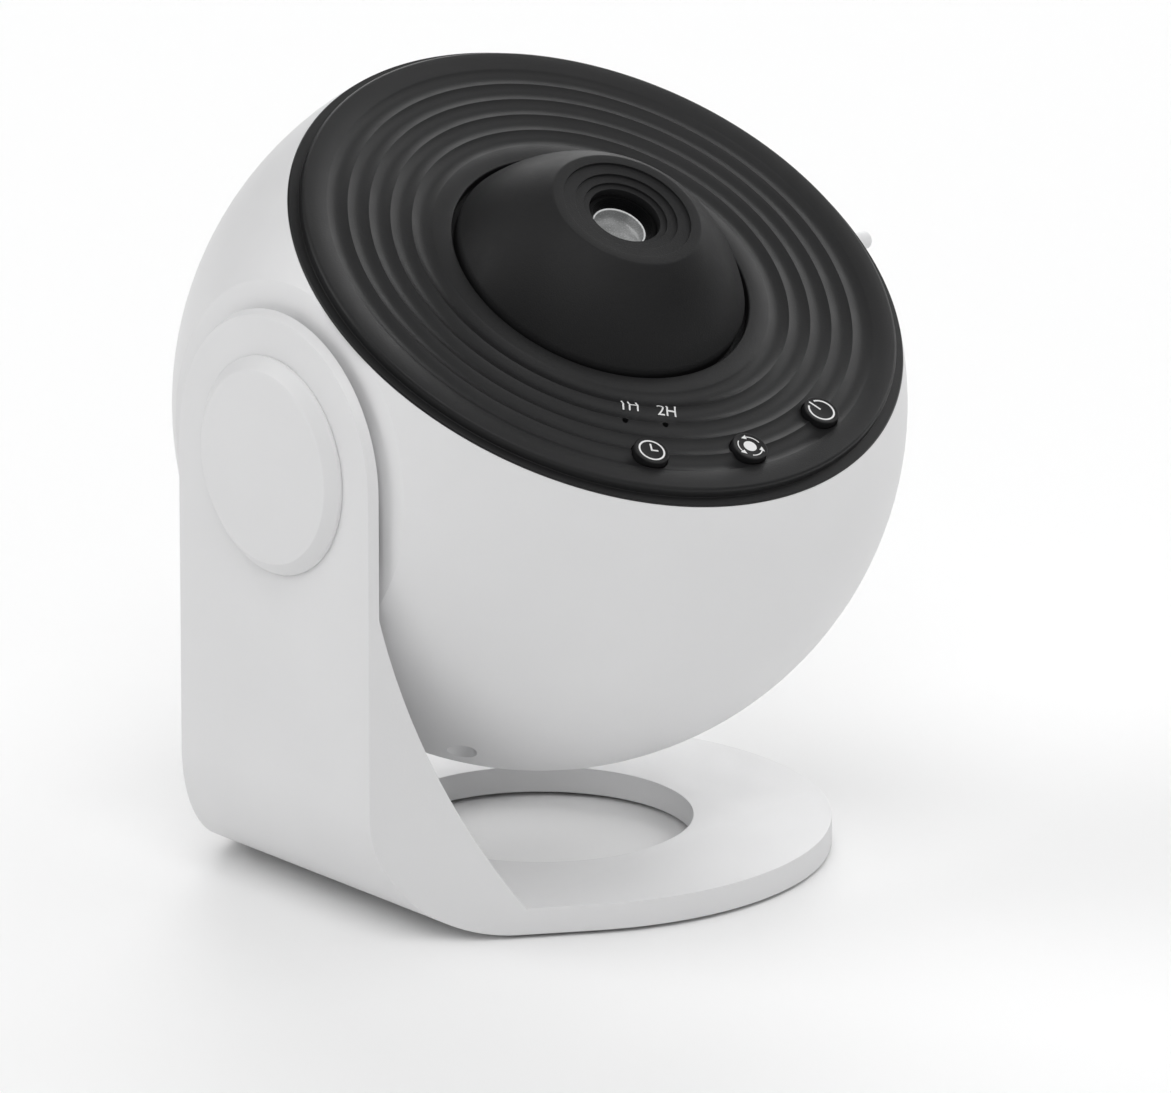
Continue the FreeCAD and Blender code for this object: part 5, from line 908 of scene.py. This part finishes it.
FORMED = {
    "base_cover": (COVER_GREY, "stand", 0.25), "base_weight": (ZINC, "stand", 0.12),
    "foot_pad": (PAD_RUBBER, "stand", 0.2), "pivot_hub": (SLIP_PLASTIC, "head", 0.2),
    "friction_washer": (SLIP_PLASTIC, "head", 0.1), "spring_washer": (ZINC, "head", 0.08),
    "retaining_plate": (ZINC, "head", 0.12), "optics_deck": (DECK_GREY, "head", 0.15),
    "film_deck": (DECK_GREY, "head", 0.15), "motor": (MOTOR_STEEL, "head", 0.15),
    "lamp_housing": (LAMP_METAL, "head", 0.15), "heat_sink": (LAMP_METAL, "head", 0.15),
    "led_board": (BOARD, "head", 0.06), "main_board": (BOARD, "head", 0.08),
    "button_board": (BOARD, "head", 0.08), "board_components": (SWITCH_PLASTIC, "head", 0.15),
    "usb_socket": (MOTOR_STEEL, "head", 0.04), "switch_bodies": (SWITCH_PLASTIC, "head", 0.12),
    "lens_ring": (BARREL_BLACK, "barrel", 0.08), "film_ring": (SLIP_PLASTIC, "film", 0.06),
    "drive_pinion": (SLIP_PLASTIC, "pinion", 0.06), "motor_shaft": (ZINC, "pinion", 0.12),
}

KEPT = {
    "condenser_lens": LAMP_GLASS, "led_emitter": LED_RESIN, "usb_tongue": SWITCH_PLASTIC,
    "indicator_lamps": PIN_RESIN, "lamp_lead": LEAD_JACKET, "motor_lead": LEAD_JACKET,
    "button_lead": LEAD_JACKET, "film_disc": FILM,
}


def make_inner_pieces():
    """A merged copy of each inner node, in its own material."""
    for node, (material, body, width) in FORMED.items():
        dress(merged_copy(node, node + "_form", width), material, body, [node])


def dress_kept_nodes():
    """A better material for the CAD nodes that no piece replaces."""
    for name, material in KEPT.items():
        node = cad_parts[name]
        node.data.materials.clear()
        node.data.materials.append(material)


# Studio

# How much of the white surroundings a reflection shows
GLOSS = 0.04

# Each lamp's direction, from behind the object and clockwise from above, its height and strength
LAMPS = ((0, 25, 0.3), (0, 55, 0.032), (45, 25, 0.228), (90, 55, 0.17), (135, 25, 0.102),
         (180, 25, 0.077), (180, 55, 0.324), (270, 25, 0.275), (270, 55, 0.129), (0, 90, 0.063))


def make_floor():
    """A pale floor, wide enough to reach past every view of the object."""
    mesh = bmesh.new()
    mesh.faces.new([mesh.verts.new((x, y, 0)) for x, y in ((-9, -9), (9, -9), (9, 9), (-9, 9))])
    floor = as_object("studio_floor", mesh, turn_out=False)
    material = bpy.data.materials.new("studio_floor")
    material.use_nodes = True
    shader = material.node_tree.nodes["Principled BSDF"]
    shader.inputs["Base Color"].default_value = (0.93, 0.93, 0.93, 1)
    shader.inputs["Roughness"].default_value = 0.6
    shader.inputs["Specular IOR Level"].default_value = 0.2
    floor.data.materials.append(material)


def make_lamps():
    """Soft daylight from all round."""
    for turn, height, strength in LAMPS:
        lamp = bpy.data.lights.new("soft_lamp", "SUN")
        lamp.energy = math.pi * strength
        lamp.angle = math.radians(40)
        obj = bpy.data.objects.new("soft_lamp", lamp)
        a, e = math.radians(turn) + CAMERA_AZIMUTH, math.radians(height)
        way = Vector((math.sin(a) * math.cos(e), math.cos(a) * math.cos(e), math.sin(e)))
        obj.rotation_euler = (-way).to_track_quat("-Z", "Y").to_euler()
        bpy.context.scene.collection.objects.link(obj)


def make_world():
    """White surroundings that the camera, reflections and glass see. The lamps give the light."""
    world = bpy.data.worlds.new("studio_world")
    world.use_nodes = True
    tree = Tree(world.node_tree)
    path = tree.add("ShaderNodeLightPath")
    seen = tree.math("MAXIMUM", path.outputs["Is Camera Ray"], path.outputs["Is Transmission Ray"])
    shine = tree.math("MULTIPLY", path.outputs["Is Glossy Ray"], GLOSS)
    background = world.node_tree.nodes["Background"]
    background.inputs["Color"].default_value = (1, 1, 1, 1)
    world.node_tree.links.new(tree.math("MAXIMUM", seen, shine), background.inputs["Strength"])
    bpy.context.scene.world = world


# The photograph's camera, fitted on the ball, the face and the base

CAMERA_AZIMUTH, CAMERA_ELEVATION = math.radians(39.4), math.radians(17.09)
CAMERA_DISTANCE = 2745

# The picture's width and its pixels to a millimetre at the ball, and how far right and up of the
# picture's middle the ball's centre stands, in ball radii
PICTURE_WIDTH, PICTURE_SCALE = 1171, 5.255
BALL_BESIDE, BALL_ABOVE = -0.1241, 0.3903


def make_camera():
    """The camera at the photograph's place, with no shift of its picture."""
    a, e = CAMERA_AZIMUTH, CAMERA_ELEVATION
    right = Vector((math.cos(a), -math.sin(a), 0))
    back = Vector((-math.sin(a) * math.cos(e), -math.cos(a) * math.cos(e), math.sin(e)))
    up = back.cross(right)
    aim = BALL_CENTRE - (right * BALL_BESIDE + up * BALL_ABOVE) * BALL_RADIUS * MM
    data = bpy.data.cameras.new("photo_camera")
    data.sensor_width = 36.0
    data.lens = PICTURE_SCALE * CAMERA_DISTANCE / PICTURE_WIDTH * data.sensor_width
    camera = bpy.data.objects.new("photo_camera", data)
    turn = Matrix((right, up, back)).transposed().to_4x4()
    camera.matrix_world = Matrix.Translation(aim + back * CAMERA_DISTANCE * MM) @ turn
    bpy.context.scene.collection.objects.link(camera)
    bpy.context.scene.camera = camera


for make in (make_screws, make_face_cover, make_cone, make_barrel, make_lenses, make_buttons,
             make_legends, make_cap, make_knob, make_shell, make_stand, make_tray, make_inner_pieces,
             dress_kept_nodes, make_world, make_floor, make_camera, make_lamps):
    make()
bpy.context.scene.view_settings.view_transform = "Standard"
